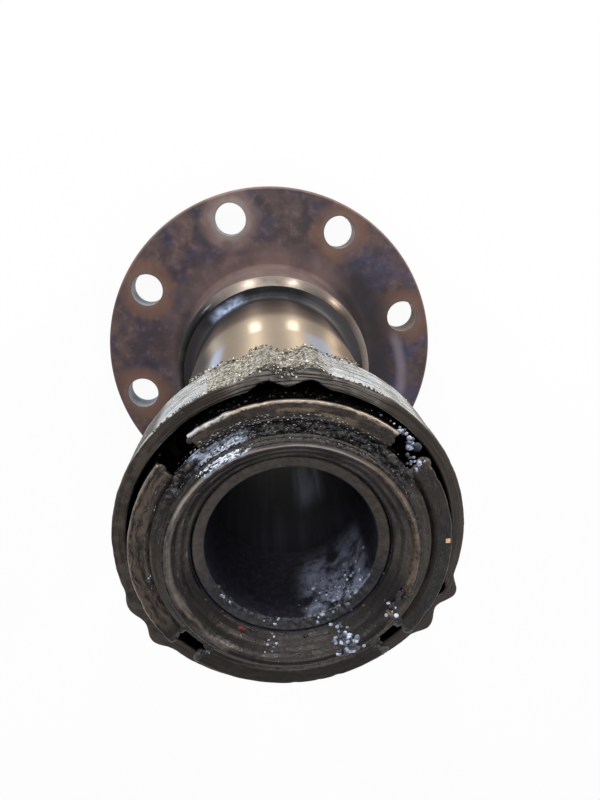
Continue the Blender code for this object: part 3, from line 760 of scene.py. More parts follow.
def floor_white():
    """Pale floor that reads as white and still takes the object's shadow."""
    material = bpy.data.materials.new("floor_white")
    material.use_nodes = True
    tree = material.node_tree
    tree.nodes.remove(tree.nodes["Principled BSDF"])
    rays = add_node(tree, "ShaderNodeLightPath").outputs
    seen = rays["Is Camera Ray"]
    for name in ("Is Glossy Ray", "Is Transmission Ray"):
        seen = add_node(tree, "ShaderNodeMath", {0: seen, 1: rays[name]}, operation="MAXIMUM").outputs[0]
    share = add_node(tree, "ShaderNodeMath", {0: seen, 1: FLOOR_GLOW}, operation="MULTIPLY").outputs[0]
    diffuse = add_node(tree, "ShaderNodeBsdfDiffuse", {"Color": FLOOR_COLOUR}).outputs[0]
    white = add_node(tree, "ShaderNodeEmission", {"Color": (1.0, 1.0, 1.0, 1.0), "Strength": 1.0}).outputs[0]
    both = add_node(tree, "ShaderNodeMixShader", {0: share, 1: diffuse, 2: white}).outputs[0]
    feed(tree.nodes["Material Output"].inputs["Surface"], both)
    return material


# Mesh helpers


def section_arc(centre_radius, centre_height, radius, start, end, steps):
    """Return the points of an arc in the section plane, with angles in degrees."""
    points = []
    for step in range(steps + 1):
        angle = radians(start + (end - start) * step / steps)
        points.append((centre_radius + radius * cos(angle), centre_height + radius * sin(angle)))
    return points


def straight(first, last, steps):
    """Return evenly spaced points after the first one, up to the last one."""
    return [
        (first[0] + (last[0] - first[0]) * step / steps, first[1] + (last[1] - first[1]) * step / steps)
        for step in range(1, steps + 1)
    ]


def put(name, data):
    """Make an object of a mesh, lamp or camera and put it in the scene."""
    made = bpy.data.objects.new(name, data)
    bpy.context.scene.collection.objects.link(made)
    return made


def ring_piece(name, columns, strip_slots, materials):
    """Join closed columns of points, one after another round the centre line, into a solid ring."""
    count, size = len(columns), len(columns[0])
    verts = [point for column in columns for point in column]
    faces, slots = [], []
    for i in range(count):
        here, after = i * size, (i + 1) % count * size
        for j in range(size):
            k = (j + 1) % size
            faces.append((here + j, after + j, after + k, here + k))
            slots.append(strip_slots[j])
    mesh = bpy.data.meshes.new(name)
    mesh.from_pydata(verts, [], faces)
    mesh.polygons.foreach_set("material_index", slots)
    for material in materials:
        mesh.materials.append(material)
    bm = bmesh.new()
    bm.from_mesh(mesh)
    bmesh.ops.remove_doubles(bm, verts=bm.verts, dist=0.002 * MM)
    bm.to_mesh(mesh)
    bm.free()
    return put(name, mesh)


def smooth(piece, angle=SHARP_ANGLE, weighted=True):
    """Shade a piece smooth, apart from its sharp edges."""
    piece.data.shade_smooth()
    piece.data.set_sharp_from_angle(angle=angle)
    if weighted:
        modifier = piece.modifiers.new("flat_faces_first", "WEIGHTED_NORMAL")
        modifier.keep_sharp = True
        modifier.weight = 60


def at(radius, angle, height):
    """Return the point at a radius, angle and height."""
    return (radius * cos(angle), radius * sin(angle), height)


def spun(outline, segments, shape=None):
    """Return columns for a section turned round Z, bent by an optional shape function."""
    columns = []
    for i in range(segments):
        angle = TURN * i / segments
        column = []
        for radius, height in outline:
            if shape is not None:
                radius, height = shape(radius, angle, height)
            column.append(at(radius, angle, height))
        columns.append(column)
    return columns


def uneven(radius, angle, height, size, seed):
    """Smooth noise between -1 and 1 at a place on the object."""
    place = Vector(at(radius, angle, height)) / size
    return noise.noise(place + Vector((seed, seed, seed)))


def cut(piece, cutter):
    """Cut one mesh out of another for good."""
    modifier = piece.modifiers.new("cut", "BOOLEAN")
    modifier.operation = "DIFFERENCE"
    modifier.solver = "EXACT"
    modifier.object = cutter
    evaluated = piece.evaluated_get(bpy.context.evaluated_depsgraph_get())
    mesh = bpy.data.meshes.new_from_object(evaluated)
    piece.modifiers.clear()
    piece.data = mesh
    bpy.data.objects.remove(cutter, do_unlink=True)


def cutter_object(name, bm):
    """Turn a finished bmesh into the object of a cutter."""
    bmesh.ops.recalc_face_normals(bm, faces=bm.faces)
    mesh = bpy.data.meshes.new(name)
    bm.to_mesh(mesh)
    bm.free()
    return put(name, mesh)


def mount(piece, slot, *nodes):
    """Let a piece ride on the part and hide the CAD nodes that it stands in for."""
    if nodes:
        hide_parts(*nodes)
    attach(piece, "root")


# Spindle

SPINDLE_SEGMENTS = 264
THREAD_START = NOSE_TOP - 8.0 * MM
THREAD_RINGS = 50
CONE_RINGS = 56
CONE_RIDGES = 2.5
RIDGE_HEIGHT = 0.12 * MM
LAND_STEPS = 14
TAPER_STEPS = 16
HOLE_SEGMENTS = 56
KEYWAY_STEPS = 16


def spindle_sections():
    """Return the spindle's outline as runs of points, one run for each turned surface's material."""
    flange = [(PILOT_RADIUS - PILOT_CHAMFER, 0.0), (PILOT_RADIUS, PILOT_CHAMFER)]
    flange.append((PILOT_RADIUS, PILOT_LENGTH))
    edge_centre = FLANGE_RADIUS - FLANGE_EDGE
    flange += section_arc(edge_centre, PILOT_LENGTH + FLANGE_EDGE, FLANGE_EDGE, -90, 0, 4)
    flange += section_arc(edge_centre, FLANGE_TOP - FLANGE_EDGE, FLANGE_EDGE, 0, 90, 4)
    flange += section_arc(LAND_RADIUS + FLANGE_FILLET, FLANGE_TOP + FLANGE_FILLET, FLANGE_FILLET, 270, 180, 6)
    land = [(LAND_RADIUS, FLANGE_TOP + 12 * MM), (LAND_RADIUS, LAND_TOP - 12 * MM)]
    for step in range(LAND_STEPS + 1):
        turn = 0.5 * pi * step / LAND_STEPS
        out, up = cos(turn) ** LAND_FLATNESS, sin(turn) ** LAND_FLATNESS
        land.append((LAND_RADIUS - LAND_ROUNDING * (1.0 - out), LAND_TOP - LAND_ROUNDING * (1.0 - up)))
    fillet_centre = JOURNAL_RADIUS + JOURNAL_FILLET
    shoulder = section_arc(fillet_centre, LAND_TOP + JOURNAL_FILLET, JOURNAL_FILLET, 270, 180, 8)
    journal = straight(shoulder[-1], (JOURNAL_RADIUS, TAPER_START - TAPER_BLEND), 4)
    for step in range(1, TAPER_STEPS + 1):
        drop = 0.5 * (1.0 - cos(pi * step / TAPER_STEPS))
        height = TAPER_START - TAPER_BLEND + (TAPER_END - TAPER_START + 2 * TAPER_BLEND) * step / TAPER_STEPS
        journal.append((JOURNAL_RADIUS - (JOURNAL_RADIUS - OUTER_JOURNAL_RADIUS) * drop, height))
    journal.append((OUTER_JOURNAL_RADIUS, THREAD_SHOULDER - NOSE_EDGE))
    journal.append((OUTER_JOURNAL_RADIUS - NOSE_EDGE, THREAD_SHOULDER))
    thread = [(CREST_OUTER, THREAD_SHOULDER), (CREST_OUTER, KEYWAY_END)]
    thread += [(THREAD_RADIUS, KEYWAY_END + 0.6 * MM), (THREAD_RADIUS, THREAD_START)]
    thread += straight(thread[-1], (THREAD_RADIUS, NOSE_TOP - NOSE_EDGE), THREAD_RINGS)
    thread += section_arc(THREAD_RADIUS - NOSE_EDGE, NOSE_TOP - NOSE_EDGE, NOSE_EDGE, 15, 90, 5)
    nose = section_arc(CREST_INNER + CREST_EDGE, NOSE_TOP - CREST_EDGE, CREST_EDGE, 90, 150, 3)
    nose += straight(nose[-1], (BUSH_SEAT_RADIUS, NOSE_TOP - CONE_DEPTH), CONE_RINGS)
    seat_end = BUSH_BASE - SEAT_CLEARANCE
    bore = [(BUSH_SEAT_RADIUS, seat_end), (BORE_RADIUS, seat_end), (BORE_RADIUS, BORE_FLARE_TOP)]
    bore += [(BORE_FLARE_RADIUS, REAR_SEAT_TOP), (REAR_SEAT_RADIUS, REAR_SEAT_TOP)]
    bore += [(REAR_SEAT_RADIUS, SEAL_SEAT_TOP), (SEAL_SEAT_RADIUS, SEAL_SEAT_TOP)]
    bore += [(SEAL_SEAT_RADIUS, NOSE_EDGE), (SEAL_SEAT_RADIUS + NOSE_EDGE, 0.0)]
    return [flange, land, shoulder, journal, thread, nose, bore]


def spindle_shape(radius, angle, height):
    """Add the helical thread, the turned ridges of the nose and the wear of its crest."""
    on_thread = abs(radius - THREAD_RADIUS) < 0.01 * MM and height > THREAD_START - 0.01 * MM
    if on_thread:
        turn = (height / THREAD_PITCH - angle / (TURN)) % 1.0
        depth = THREAD_DEPTH * (1.0 - abs(2.0 * turn - 1.0) * 1.15)
        return radius - max(0.0, depth), height
    cone = (NOSE_TOP - height) / CONE_DEPTH
    if 0.04 < cone < 0.99 and BUSH_SEAT_RADIUS + 0.05 * MM < radius < CREST_INNER:
        wander = 0.25 * uneven(radius, angle, 0.0, 9 * MM, 3.0)
        ripple = sin(TURN * (CONE_RIDGES * cone + wander))
        lift = RIDGE_HEIGHT * (ripple - 1.0) * (0.7 + 0.5 * uneven(radius, angle, 0.0, 5 * MM, 8.0))
        return radius - 0.3 * lift, height + lift
    if height > NOSE_TOP - 0.45 * MM:
        nick = max(0.0, uneven(radius, angle, 0.0, 1.3 * MM, 21.0) - 0.35)
        return radius, height - 0.35 * MM * nick
    return radius, height


def hole_cutter():
    """Drill for the eight bolt holes, flared a little at both faces so the edges are rounded."""
    edge = 0.25 * MM
    low, high = PILOT_LENGTH, FLANGE_TOP
    profile = [(BOLT_HOLE + edge, low - 2 * MM)]
    profile += section_arc(BOLT_HOLE + edge, low + 0.97 * edge, edge, 270, 180, 4)
    profile += section_arc(BOLT_HOLE + edge, high - 0.97 * edge, edge, 180, 90, 4)
    profile += [(BOLT_HOLE + edge, high + 2 * MM)]
    bm = bmesh.new()
    for hole in range(BOLT_COUNT):
        centre = Vector(at(BOLT_CIRCLE, BOLT_FIRST + TURN * hole / BOLT_COUNT, 0.0))
        rings = []
        for radius, height in profile:
            ring = []
            for i in range(HOLE_SEGMENTS):
                corner = Vector(at(radius, TURN * i / HOLE_SEGMENTS, height))
                ring.append(bm.verts.new(centre + corner))
            rings.append(ring)
        for lower, upper in zip(rings, rings[1:]):
            for i in range(HOLE_SEGMENTS):
                k = (i + 1) % HOLE_SEGMENTS
                bm.faces.new((lower[i], lower[k], upper[k], upper[i]))
        bm.faces.new(rings[0][::-1])
        bm.faces.new(rings[-1])
    return cutter_object("hole_cutter", bm)


def keyway_cutter(slot):
    """End mill's path for the keyway, from its round end out past the nose."""
    half = 0.5 * KEYWAY_WIDTH
    outline = [(-half, NOSE_TOP + 2 * MM), (half, NOSE_TOP + 2 * MM)]
    for step in range(KEYWAY_STEPS + 1):
        angle = -pi * step / KEYWAY_STEPS
        outline.append((half * cos(angle), KEYWAY_END + half + half * sin(angle)))
    bm = bmesh.new()
    floor = bm.faces.new([bm.verts.new((KEYWAY_FLOOR, across, height)) for across, height in outline])
    pulled = bmesh.ops.extrude_face_region(bm, geom=[floor])
    moved = [item for item in pulled["geom"] if isinstance(item, bmesh.types.BMVert)]
    bmesh.ops.translate(bm, verts=moved, vec=(6 * MM, 0.0, 0.0))
    bmesh.ops.rotate(bm, verts=bm.verts, cent=(0, 0, 0), matrix=Matrix.Rotation(KEYWAY_ANGLE, 3, "Z"))
    for face in bm.faces:
        face.material_index = slot
    return cutter_object("keyway_cutter", bm)


def make_spindle():
    """Turned body with its holes and keyway cut, one finish for each of its surfaces."""
    outline, slots = [], []
    for slot, points in enumerate(spindle_sections()):
        outline += points
        slots += [slot] * len(points)
    # The strip after a run's last point leads to the next run, and the last one closes the pilot's end
    strip_slots = slots[1:] + [0]
    materials = [
        flange_scale(),
        land_steel(),
        shoulder_oil(),
        journal_steel(),
        thread_grease(),
        nose_steel(),
        bore_oil(),
        keyway_steel(),
    ]
    columns = spun(outline, SPINDLE_SEGMENTS, spindle_shape)
    piece = ring_piece("spindle_body", columns, strip_slots, materials)
    cut(piece, hole_cutter())
    cut(piece, keyway_cutter(len(materials) - 1))
    smooth(piece)
    mount(piece, "spindle_steel", "spindle")


# Retainer cup


def lobe_rise(angle):
    """Return how far the cup's wall stands out at an angle: two humps side by side at each lobe."""
    sag = 0.3 * MM * max(0.0, -sin(angle) - 0.3)
    for centre, first, second in LOBES:
        offset = remainder(angle - centre, TURN)
        if abs(offset) < LOBE_HALF_WIDTH:
            height = first if offset < 0.0 else second
            return sag + 0.5 * height * (1.0 - cos(TURN * offset / LOBE_HALF_WIDTH))
    return sag


def cup_shape(radius, angle, height):
    """Press the lobes and make the wall and rim slightly uneven."""
    inner = CUP_RADIUS - CUP_WALL
    share = min(1.0, max(0.0, (radius - NUT_BORE) / (inner - NUT_BORE)))
    out = radius + share * lobe_rise(angle)
    if radius > CUP_RADIUS - CUP_EDGE:
        out += 0.10 * MM * uneven(radius, angle, height, 3 * MM, 4.0)
        out += 0.05 * MM * uneven(radius, angle, height, 0.9 * MM, 9.0)
    if height > CUP_TOP - CUP_EDGE:
        height += 0.05 * MM * (uneven(radius, angle, 0.0, 4 * MM, 5.0) - 1.0)
        nick = max(0.0, uneven(radius, angle, 0.0, 1.6 * MM, 15.0) - 0.3)
        height -= 0.25 * MM * nick
    return out, height


def make_cup():
    """Thin turned ring with pressed lobes and a sawn rim."""
    inner = CUP_RADIUS - CUP_WALL
    wall = [(NUT_BORE, CUP_BASE)]
    wall += section_arc(CUP_RADIUS - CUP_CORNER, CUP_BASE + CUP_CORNER, CUP_CORNER, 270, 360, 5)
    wall += straight(wall[-1], (CUP_RADIUS, CUP_TOP - CUP_EDGE), 18)
    rim = section_arc(CUP_RADIUS - CUP_EDGE, CUP_TOP - CUP_EDGE, CUP_EDGE, 20, 90, 3)
    rim += straight(rim[-1], (inner + CUP_EDGE, CUP_TOP), 5)
    rim += section_arc(inner + CUP_EDGE, CUP_TOP - CUP_EDGE, CUP_EDGE, 110, 180, 3)
    web_top = CUP_BASE + CUP_WEB
    inside = [(inner, web_top + 4 * MM), (inner, web_top), (NUT_BORE, web_top)]
    outline = wall + rim + inside
    strip_slots = ([0] * len(wall) + [1] * len(rim) + [2] * len(inside))[1:] + [2]
    materials = [cup_wall(), cup_rim(), dark_hollow("cup_hollow")]
    piece = ring_piece("cup_shell", spun(outline, CUP_SEGMENTS, cup_shape), strip_slots, materials)
    smooth(piece, WORN_ANGLE)
    mount(piece, "cup_steel", "retainer_cup")


# Lock nut

# How far beside a slot's wall the nut's columns stand
SLOT_STEPS = [0.0, 0.06 * MM, 0.14 * MM, 0.26 * MM, 0.42 * MM, 0.7 * MM]
SLOT_ROUNDING = 0.42 * MM
NUT_COLUMNS_BETWEEN = 90


def nut_outline():
    """Return the lock nut's section from the back of its bore round to the front bore chamfer."""
    back = NUT_BORE + 0.6 * MM
    chamfer_top = NUT_BORE + NUT_BORE_CHAMFER
    points = [(back, NUT_BASE)]
    points += section_arc(NUT_RADIUS - NUT_EDGE, NUT_BASE + NUT_EDGE, NUT_EDGE, 270, 360, 3)
    points += section_arc(NUT_RADIUS - NUT_EDGE, NUT_TOP - NUT_EDGE, NUT_EDGE, 0, 90, 6)
    points += straight(points[-1], (chamfer_top, NUT_TOP), 8)
    points += straight(points[-1], (SLOT_FLOOR, NUT_TOP - chamfer_top + SLOT_FLOOR), 4)
    points += straight(points[-1], (NUT_BORE, NUT_TOP - NUT_BORE_CHAMFER), 3)
    points += [(NUT_BORE, NUT_BASE + 0.6 * MM)]
    return points


def nut_wear(radius, angle, height):
    """Round the nut's face and edge off unevenly."""
    if height > NUT_TOP - 1.2 * MM and radius > NUT_BORE + NUT_BORE_CHAMFER - 0.1 * MM:
        height += 0.05 * MM * (uneven(radius, angle, 0.0, 2.4 * MM, 6.0) - 1.0)
        if radius > NUT_RADIUS - 1.2 * NUT_EDGE:
            nick = max(0.0, uneven(radius, angle, 0.0, 2.6 * MM, 31.0) - 0.1)
            radius -= 0.3 * MM * nick
            height -= 0.2 * MM * nick
    return radius, height


def nut_column(outline, centre, across, inside):
    """Return one column of the nut at a distance across from a slot's middle line."""
    side = 1.0 if across >= 0.0 else -1.0
    away = abs(across) - SLOT_HALF_WIDTH
    dip = 0.0
    if not inside and away < SLOT_ROUNDING:
        dip = SLOT_ROUNDING - sqrt(SLOT_ROUNDING**2 - (SLOT_ROUNDING - away) ** 2)
    floor_height = NUT_TOP - NUT_BORE - NUT_BORE_CHAMFER + SLOT_FLOOR
    column = []
    for radius, height in outline:
        if inside and radius >= SLOT_FLOOR - 0.001 * MM:
            height = min(height, floor_height)
            place = Vector((SLOT_FLOOR, across, 0.0))
        elif radius > SLOT_FLOOR + 0.5 * MM:
            worn_radius, worn_height = nut_wear(radius, centre + across / radius, height)
            if height > 0.5 * (NUT_BASE + NUT_TOP):
                height = worn_height - 0.8 * dip
            radius = worn_radius
            if radius > NUT_RADIUS - 1.5 * NUT_EDGE:
                radius -= 0.6 * dip
            place = Vector((sqrt(radius**2 - across**2), across, 0.0))
        else:
            turn = atan2(abs(across), SLOT_FLOOR) * side
            place = Vector(at(radius, turn, 0.0))
        place.rotate(Matrix.Rotation(centre, 3, "Z"))
        column.append((place.x, place.y, height))
    return column


def slot_centre(index):
    """Return the angle of the middle of one of the nut's four slots."""
    return SLOT_FIRST + 0.5 * pi * index


def make_lock_nut():
    """Round nut with four slots, built column by column so that the slots' edges stay straight."""
    outline = nut_outline()
    columns = []
    reach = SLOT_HALF_WIDTH + SLOT_STEPS[-1] + 0.4 * MM
    turn_after = asin(reach / NUT_BORE)
    between = 0.5 * pi - 2.0 * turn_after
    for index in range(4):
        centre = slot_centre(index)
        for step in reversed(SLOT_STEPS):
            columns.append(nut_column(outline, centre, -(SLOT_HALF_WIDTH + step), False))
        for share in (-1.0, -0.5, 0.0, 0.5, 1.0):
            columns.append(nut_column(outline, centre, share * SLOT_HALF_WIDTH, True))
        for step in SLOT_STEPS:
            columns.append(nut_column(outline, centre, SLOT_HALF_WIDTH + step, False))
        for step in range(NUT_COLUMNS_BETWEEN + 1):
            angle = centre + turn_after + between * step / NUT_COLUMNS_BETWEEN
            worn = [nut_wear(radius, angle, height) for radius, height in outline]
            columns.append([at(radius, angle, height) for radius, height in worn])
    piece = ring_piece("lock_nut_body", columns, [0] * len(outline), [nut_steel()])
    smooth(piece, WORN_ANGLE)
    mount(piece, "nut_steel", "lock_nut")


# Bush, grease and grit


def make_nose_bush():
    """Bush in the nose, with a worn inner edge."""
    face_inner = BUSH_TOP - BUSH_SLOPE
    outline = [(BUSH_OUTER_RADIUS, BUSH_BASE), (BUSH_OUTER_RADIUS, BUSH_TOP - 0.2 * MM)]
    outline += [(BUSH_OUTER_RADIUS - 0.2 * MM, BUSH_TOP)]
    outline += straight(outline[-1], (BUSH_INNER_RADIUS + 0.4 * MM, face_inner), 8)
    outline += section_arc(BUSH_INNER_RADIUS + 0.4 * MM, face_inner - 0.4 * MM, 0.4 * MM, 105, 180, 4)
    outline += straight(outline[-1], (BUSH_INNER_RADIUS, BUSH_BASE), 6)

    def shape(radius, angle, height):
        if height > face_inner - 0.5 * MM and radius < BUSH_OUTER_RADIUS - 0.1 * MM:
            greasy = min(1.0, max(0.0, 1.6 * cos(angle - radians(-85.0)) - 0.1))
            inner = (BUSH_OUTER_RADIUS - radius) / (BUSH_OUTER_RADIUS - BUSH_INNER_RADIUS)
            height += 0.04 * MM * uneven(radius, angle, 0.0, 1.2 * MM, 12.0)
            height += 0.5 * greasy * inner * MM * (uneven(radius, angle, 0.0, 1.1 * MM, 17.0) + 0.4)
            radius += 0.25 * greasy * inner * MM * uneven(radius, angle, 0.0, 1.4 * MM, 19.0)
        return radius, height

    columns = spun(outline, BUSH_SEGMENTS, shape)
    piece = ring_piece("nose_bush_body", columns, [0] * len(outline), [bush_bronze()])
    smooth(piece)
    mount(piece, "bush_bronze", "nose_bush")


def groove_level(angle):
    """Return the height of the grease round the nose: sunk at the top, nearly flush elsewhere."""
    upper = min(1.0, max(0.0, 0.5 + 2.0 * (cos(angle - radians(93.0)) - 0.45)))
    return NUT_TOP - (0.45 + 0.6 * upper) * MM, upper


def make_groove_grease():
    """Grease packed in the groove between the nose's thread and the nut's bore chamfer."""
    inner, outer = THREAD_RADIUS - 0.5 * MM, GREASE_EDGE
    outline = [(outer, -1.2 * MM)]
    outline += straight((outer, 0.15 * MM), (inner, -0.1 * MM), 10)
    outline += [(inner, -1.6 * MM)]

    def shape(radius, angle, height):
        level, upper = groove_level(angle)
        if height > -0.5 * MM:
            rough = (0.15 + 0.85 * upper) * MM
            height += 0.50 * rough * uneven(radius, angle, 0.0, 1.7 * MM, 40.0)
            height += 0.30 * rough * uneven(radius, angle, 0.0, 0.6 * MM, 44.0)
        return radius, level + height

    columns = spun(outline, GREASE_SEGMENTS, shape)
    piece = ring_piece("groove_grease", columns, [0] * len(outline), [groove_film()])
    smooth(piece, GREASE_ANGLE, weighted=False)
    mount(piece, "nut_steel")


def scatter(name, places, material, slot, seed, detail=1, roughness=0.35, flat=False, along=False):
    """Join many small irregular lumps into one piece. A place is (point, outward direction, size)."""
    blank = bmesh.new()
    bmesh.ops.create_icosphere(blank, subdivisions=detail, radius=1.0)
    base = np.array([vert.co[:] for vert in blank.verts])
    faces = np.array([[vert.index for vert in face.verts] for face in blank.faces])
    blank.free()
    random = np.random.default_rng(seed)
    verts, polygons = [], []
    for index, (point, direction, size) in enumerate(places):
        lump = base * (1.0 + roughness * random.uniform(-1.0, 1.0, (len(base), 1)))
        lump = lump * random.uniform(0.7, 1.3, 3) * (1.0, 1.0, 0.6)
        turn = random.uniform(0.0, TURN)
        if along:
            lump = lump * (0.7, 2.2, 0.7)
            turn = atan2(point[1], point[0]) + random.normal(0.0, 0.3)
        cosine, sine = cos(turn), sin(turn)
        spin = np.array([[cosine, -sine, 0.0], [sine, cosine, 0.0], [0.0, 0.0, 1.0]])
        stand = np.eye(3) if along else np.array(Vector(direction).to_track_quat("Z", "Y").to_matrix())
        verts.append((lump * 0.5 * size) @ spin.T @ stand.T + np.array(point))
        polygons.append(faces + index * len(base))
    mesh = bpy.data.meshes.new(name)
    mesh.from_pydata(np.concatenate(verts).tolist(), [], np.concatenate(polygons).tolist())
    mesh.materials.append(material)
    if not flat:
        mesh.shade_smooth()
    mount(put(name, mesh), slot)


def facing_up(radius, angle, height, size):
    """Return a place for a lump that lies on a face which looks along the centre line."""
    return at(radius, angle, height), (0.0, 0.0, 1.0), size


def facing_out(radius, angle, height, size):
    """Return a place for a lump on a wall that looks away from the centre line."""
    return at(radius, angle, height), at(1.0, angle, 0.0), size


def facing_in(radius, angle, height, size):
    """Return a place for a lump on a wall that looks towards the centre line."""
    return at(radius, angle, height), at(-1.0, angle, 0.0), size


def cup_outside(angle):
    """Return the radius of the cup's outer wall at an angle."""
    return CUP_RADIUS + lobe_rise(angle)


def make_cup_crumbs(material):
    """Crumbs stuck along the top of the cup's wall, heaped over the rim at the lobe's dip."""
    random = np.random.default_rng(11)
    places = []
    for _ in range(5200):
        angle = radians(random.normal(98.0, 10.5))
        height = random.uniform(CUP_BASE + 0.8 * MM, CUP_TOP - 0.1 * MM)
        size = MM * random.choice(CRUMB_SIZES, p=CRUMB_SHARES) * random.uniform(0.8, 1.2)
        places.append(facing_out(cup_outside(angle) - 0.15 * size, angle, height, size))
    # Ragged far edge of the wall
    for _ in range(260):
        angle = radians(random.uniform(66.0, 126.0))
        height = CUP_BASE + random.uniform(0.3, 3.0) * MM
        radius = cup_outside(angle) + random.uniform(0.0, 0.5) * MM
        places.append(facing_out(radius, angle, height, MM * random.uniform(0.25, 0.65)))
    # Clump that hangs over the rim
    for _ in range(200):
        angle = radians(random.normal(93.0, 3.0))
        radius = cup_outside(angle) + abs(random.normal(0.0, 0.4)) * MM
        height = CUP_TOP - random.uniform(0.0, 2.2) * MM
        places.append(facing_out(radius, angle, height, MM * random.uniform(0.25, 0.6)))
    for _ in range(120):
        angle = radians(random.normal(93.5, 2.2))
        radius = cup_outside(angle) - abs(random.normal(0.0, 0.7)) * MM
        places.append(facing_up(radius, angle, CUP_TOP, MM * random.uniform(0.2, 0.55)))
    # Crumbs along the rim, then a few all round the wall
    for _ in range(240):
        angle = radians(random.uniform(62.0, 138.0))
        radius = cup_outside(angle) - random.uniform(0.0, 0.3) * MM
        places.append(facing_up(radius, angle, CUP_TOP - 0.15 * MM, MM * random.uniform(0.15, 0.4)))
    for _ in range(500):
        angle = random.uniform(0.0, TURN)
        height = random.uniform(CUP_BASE + 0.8 * MM, CUP_TOP - 0.3 * MM)
        size = MM * random.uniform(0.25, 0.5)
        places.append(facing_out(cup_outside(angle) - 0.2 * size, angle, height, size))
    scatter("cup_crumbs", places, material, "cup_steel", 12, flat=True)


def make_gap_crumbs(material):
    """Dark crumbs packed between the nut and the cup, thickest at the top lobe."""
    random = np.random.default_rng(21)
    places = []
    for _ in range(420):
        angle = radians(random.normal(88.0, 22.0))
        height = random.uniform(NUT_TOP - 8.5 * MM, CUP_TOP - 0.6 * MM)
        size = MM * random.uniform(0.3, 0.8)
        if random.uniform() < 0.6:
            places.append(facing_in(cup_outside(angle) - CUP_WALL - 0.2 * size, angle, height, size))
        else:
            height = random.uniform(NUT_TOP - 6.5 * MM, NUT_TOP - 1.2 * MM)
            places.append(facing_out(NUT_RADIUS + 0.1 * size, angle, height, size))
    scatter("gap_crumbs", places, material, "nut_steel", 22, flat=True)


def front_height(radius, angle):
    """Return the height of whatever faces forward at a place: bush, nose, grease or nut."""
    if radius < BUSH_OUTER_RADIUS:
        return BUSH_TOP - BUSH_SLOPE * (BUSH_OUTER_RADIUS - radius) / (BUSH_OUTER_RADIUS - BUSH_INNER_RADIUS)
    if radius < CREST_INNER:
        return NOSE_TOP - CONE_DEPTH * (CREST_INNER - radius) / (CREST_INNER - BUSH_SEAT_RADIUS)
    if radius < THREAD_RADIUS:
        return NOSE_TOP - 0.4 * max(0.0, radius - CREST_OUTER)
    if radius < GREASE_EDGE:
        return groove_level(angle)[0]
    return NUT_TOP


# Sizes of the crumbs on the cup's wall, and the share that has each
CRUMB_SIZES = (0.16, 0.24, 0.36, 0.55)
CRUMB_SHARES = (0.42, 0.34, 0.20, 0.04)

# Beads in groups: angle, its spread, radius, its spread, number, smallest and largest size
BEAD_GROUPS = [
    (-60.5, 2.6, 23.0, 1.3, 70, 0.6, 1.4),
    (-31.0, 2.0, 23.4, 0.8, 9, 0.4, 0.9),
    (-101.0, 1.6, 21.6, 0.8, 12, 0.3, 0.8),
    (-140.0, 3.0, 17.9, 0.2, 4, 0.4, 0.8),
    (-127.0, 4.0, 17.9, 0.3, 7, 0.4, 0.9),
    (-105.0, 5.0, 18.0, 0.3, 7, 0.4, 0.9),
    (-58.0, 9.0, 18.0, 0.4, 16, 0.5, 1.1),
    (-127.0, 0.5, 27.4, 1.2, 12, 0.3, 0.6),
    (-169.0, 2.0, 28.3, 0.4, 8, 0.2, 0.5),
    (41.0, 1.5, 28.8, 1.2, 14, 0.3, 0.8),
    (122.0, 5.0, 25.7, 0.6, 160, 0.12, 0.3),
]

# Drop that hangs alone in the bore: angle and height
SINGLE_DROP = (radians(-57.4), 151.0 * MM)
# Lumps in the upper right slot: angle, radius, depth below the nut's face and size
SLOT_LUMPS = [
    (51.5, 32.2, 1.2, 1.1),
    (46.0, 31.8, 2.6, 1.6),
    (43.0, 31.0, 3.0, 1.8),
    (38.0, 30.9, 0.5, 1.2),
    (37.0, 29.6, 0.3, 0.9),
]


def make_beads(material):
    """Beads of wet grease in the bore, on the nose and round the slots."""
    random = np.random.default_rng(31)
    places = []
    # Bush's lower right wall, small ones first, then a row of large ones under its edge
    for number, low, high, bottom, top in ((150, 0.15, 0.45, 12.0, 0.6), (40, 0.5, 1.1, 10.0, 0.5)):
        for _ in range(number):
            angle = radians(random.normal(-52.0, 13.0))
            height = BUSH_TOP - random.uniform(top, bottom) * MM
            size = MM * random.uniform(low, high)
            places.append(facing_in(BUSH_INNER_RADIUS - 0.1 * size, angle, height, size))
    places.append((at(BORE_RADIUS - 0.2 * MM, *SINGLE_DROP), (1.0, 0.0, 0.0), 1.4 * MM))
    for middle, turn_spread, radius, spread, number, low, high in BEAD_GROUPS:
        for _ in range(number):
            angle = radians(random.normal(middle, turn_spread))
            place_radius = max(17.5, random.normal(radius, spread)) * MM
            height = front_height(place_radius, angle)
            places.append(facing_up(place_radius, angle, height, MM * random.uniform(low, high)))
    # Lumps in the mouth of the upper right slot and along the gap above it
    for angle, radius, depth, size in SLOT_LUMPS:
        for _ in range(7):
            turn = radians(angle + random.normal(0.0, 1.0))
            place_radius = (radius + random.normal(0.0, 0.3)) * MM
            lump = size * MM * random.uniform(0.4, 1.0)
            places.append(facing_up(place_radius, turn, NUT_TOP - depth * MM, lump))
    for _ in range(7):
        angle = radians(random.uniform(48.0, 66.0))
        places.append(facing_up(32.3 * MM, angle, NUT_TOP - 2.0 * MM, MM * random.uniform(0.3, 0.6)))
    scatter("grease_beads", places, material, "nut_steel", 32, detail=2, roughness=0.08)


# Grease over the slots' edges: slot, number of lumps, smallest and largest size
EDGE_LUMPS = [(0, 16, 1.2, 2.2), (1, 12, 0.8, 1.6), (2, 44, 0.6, 1.7), (3, 44, 0.6, 1.6)]


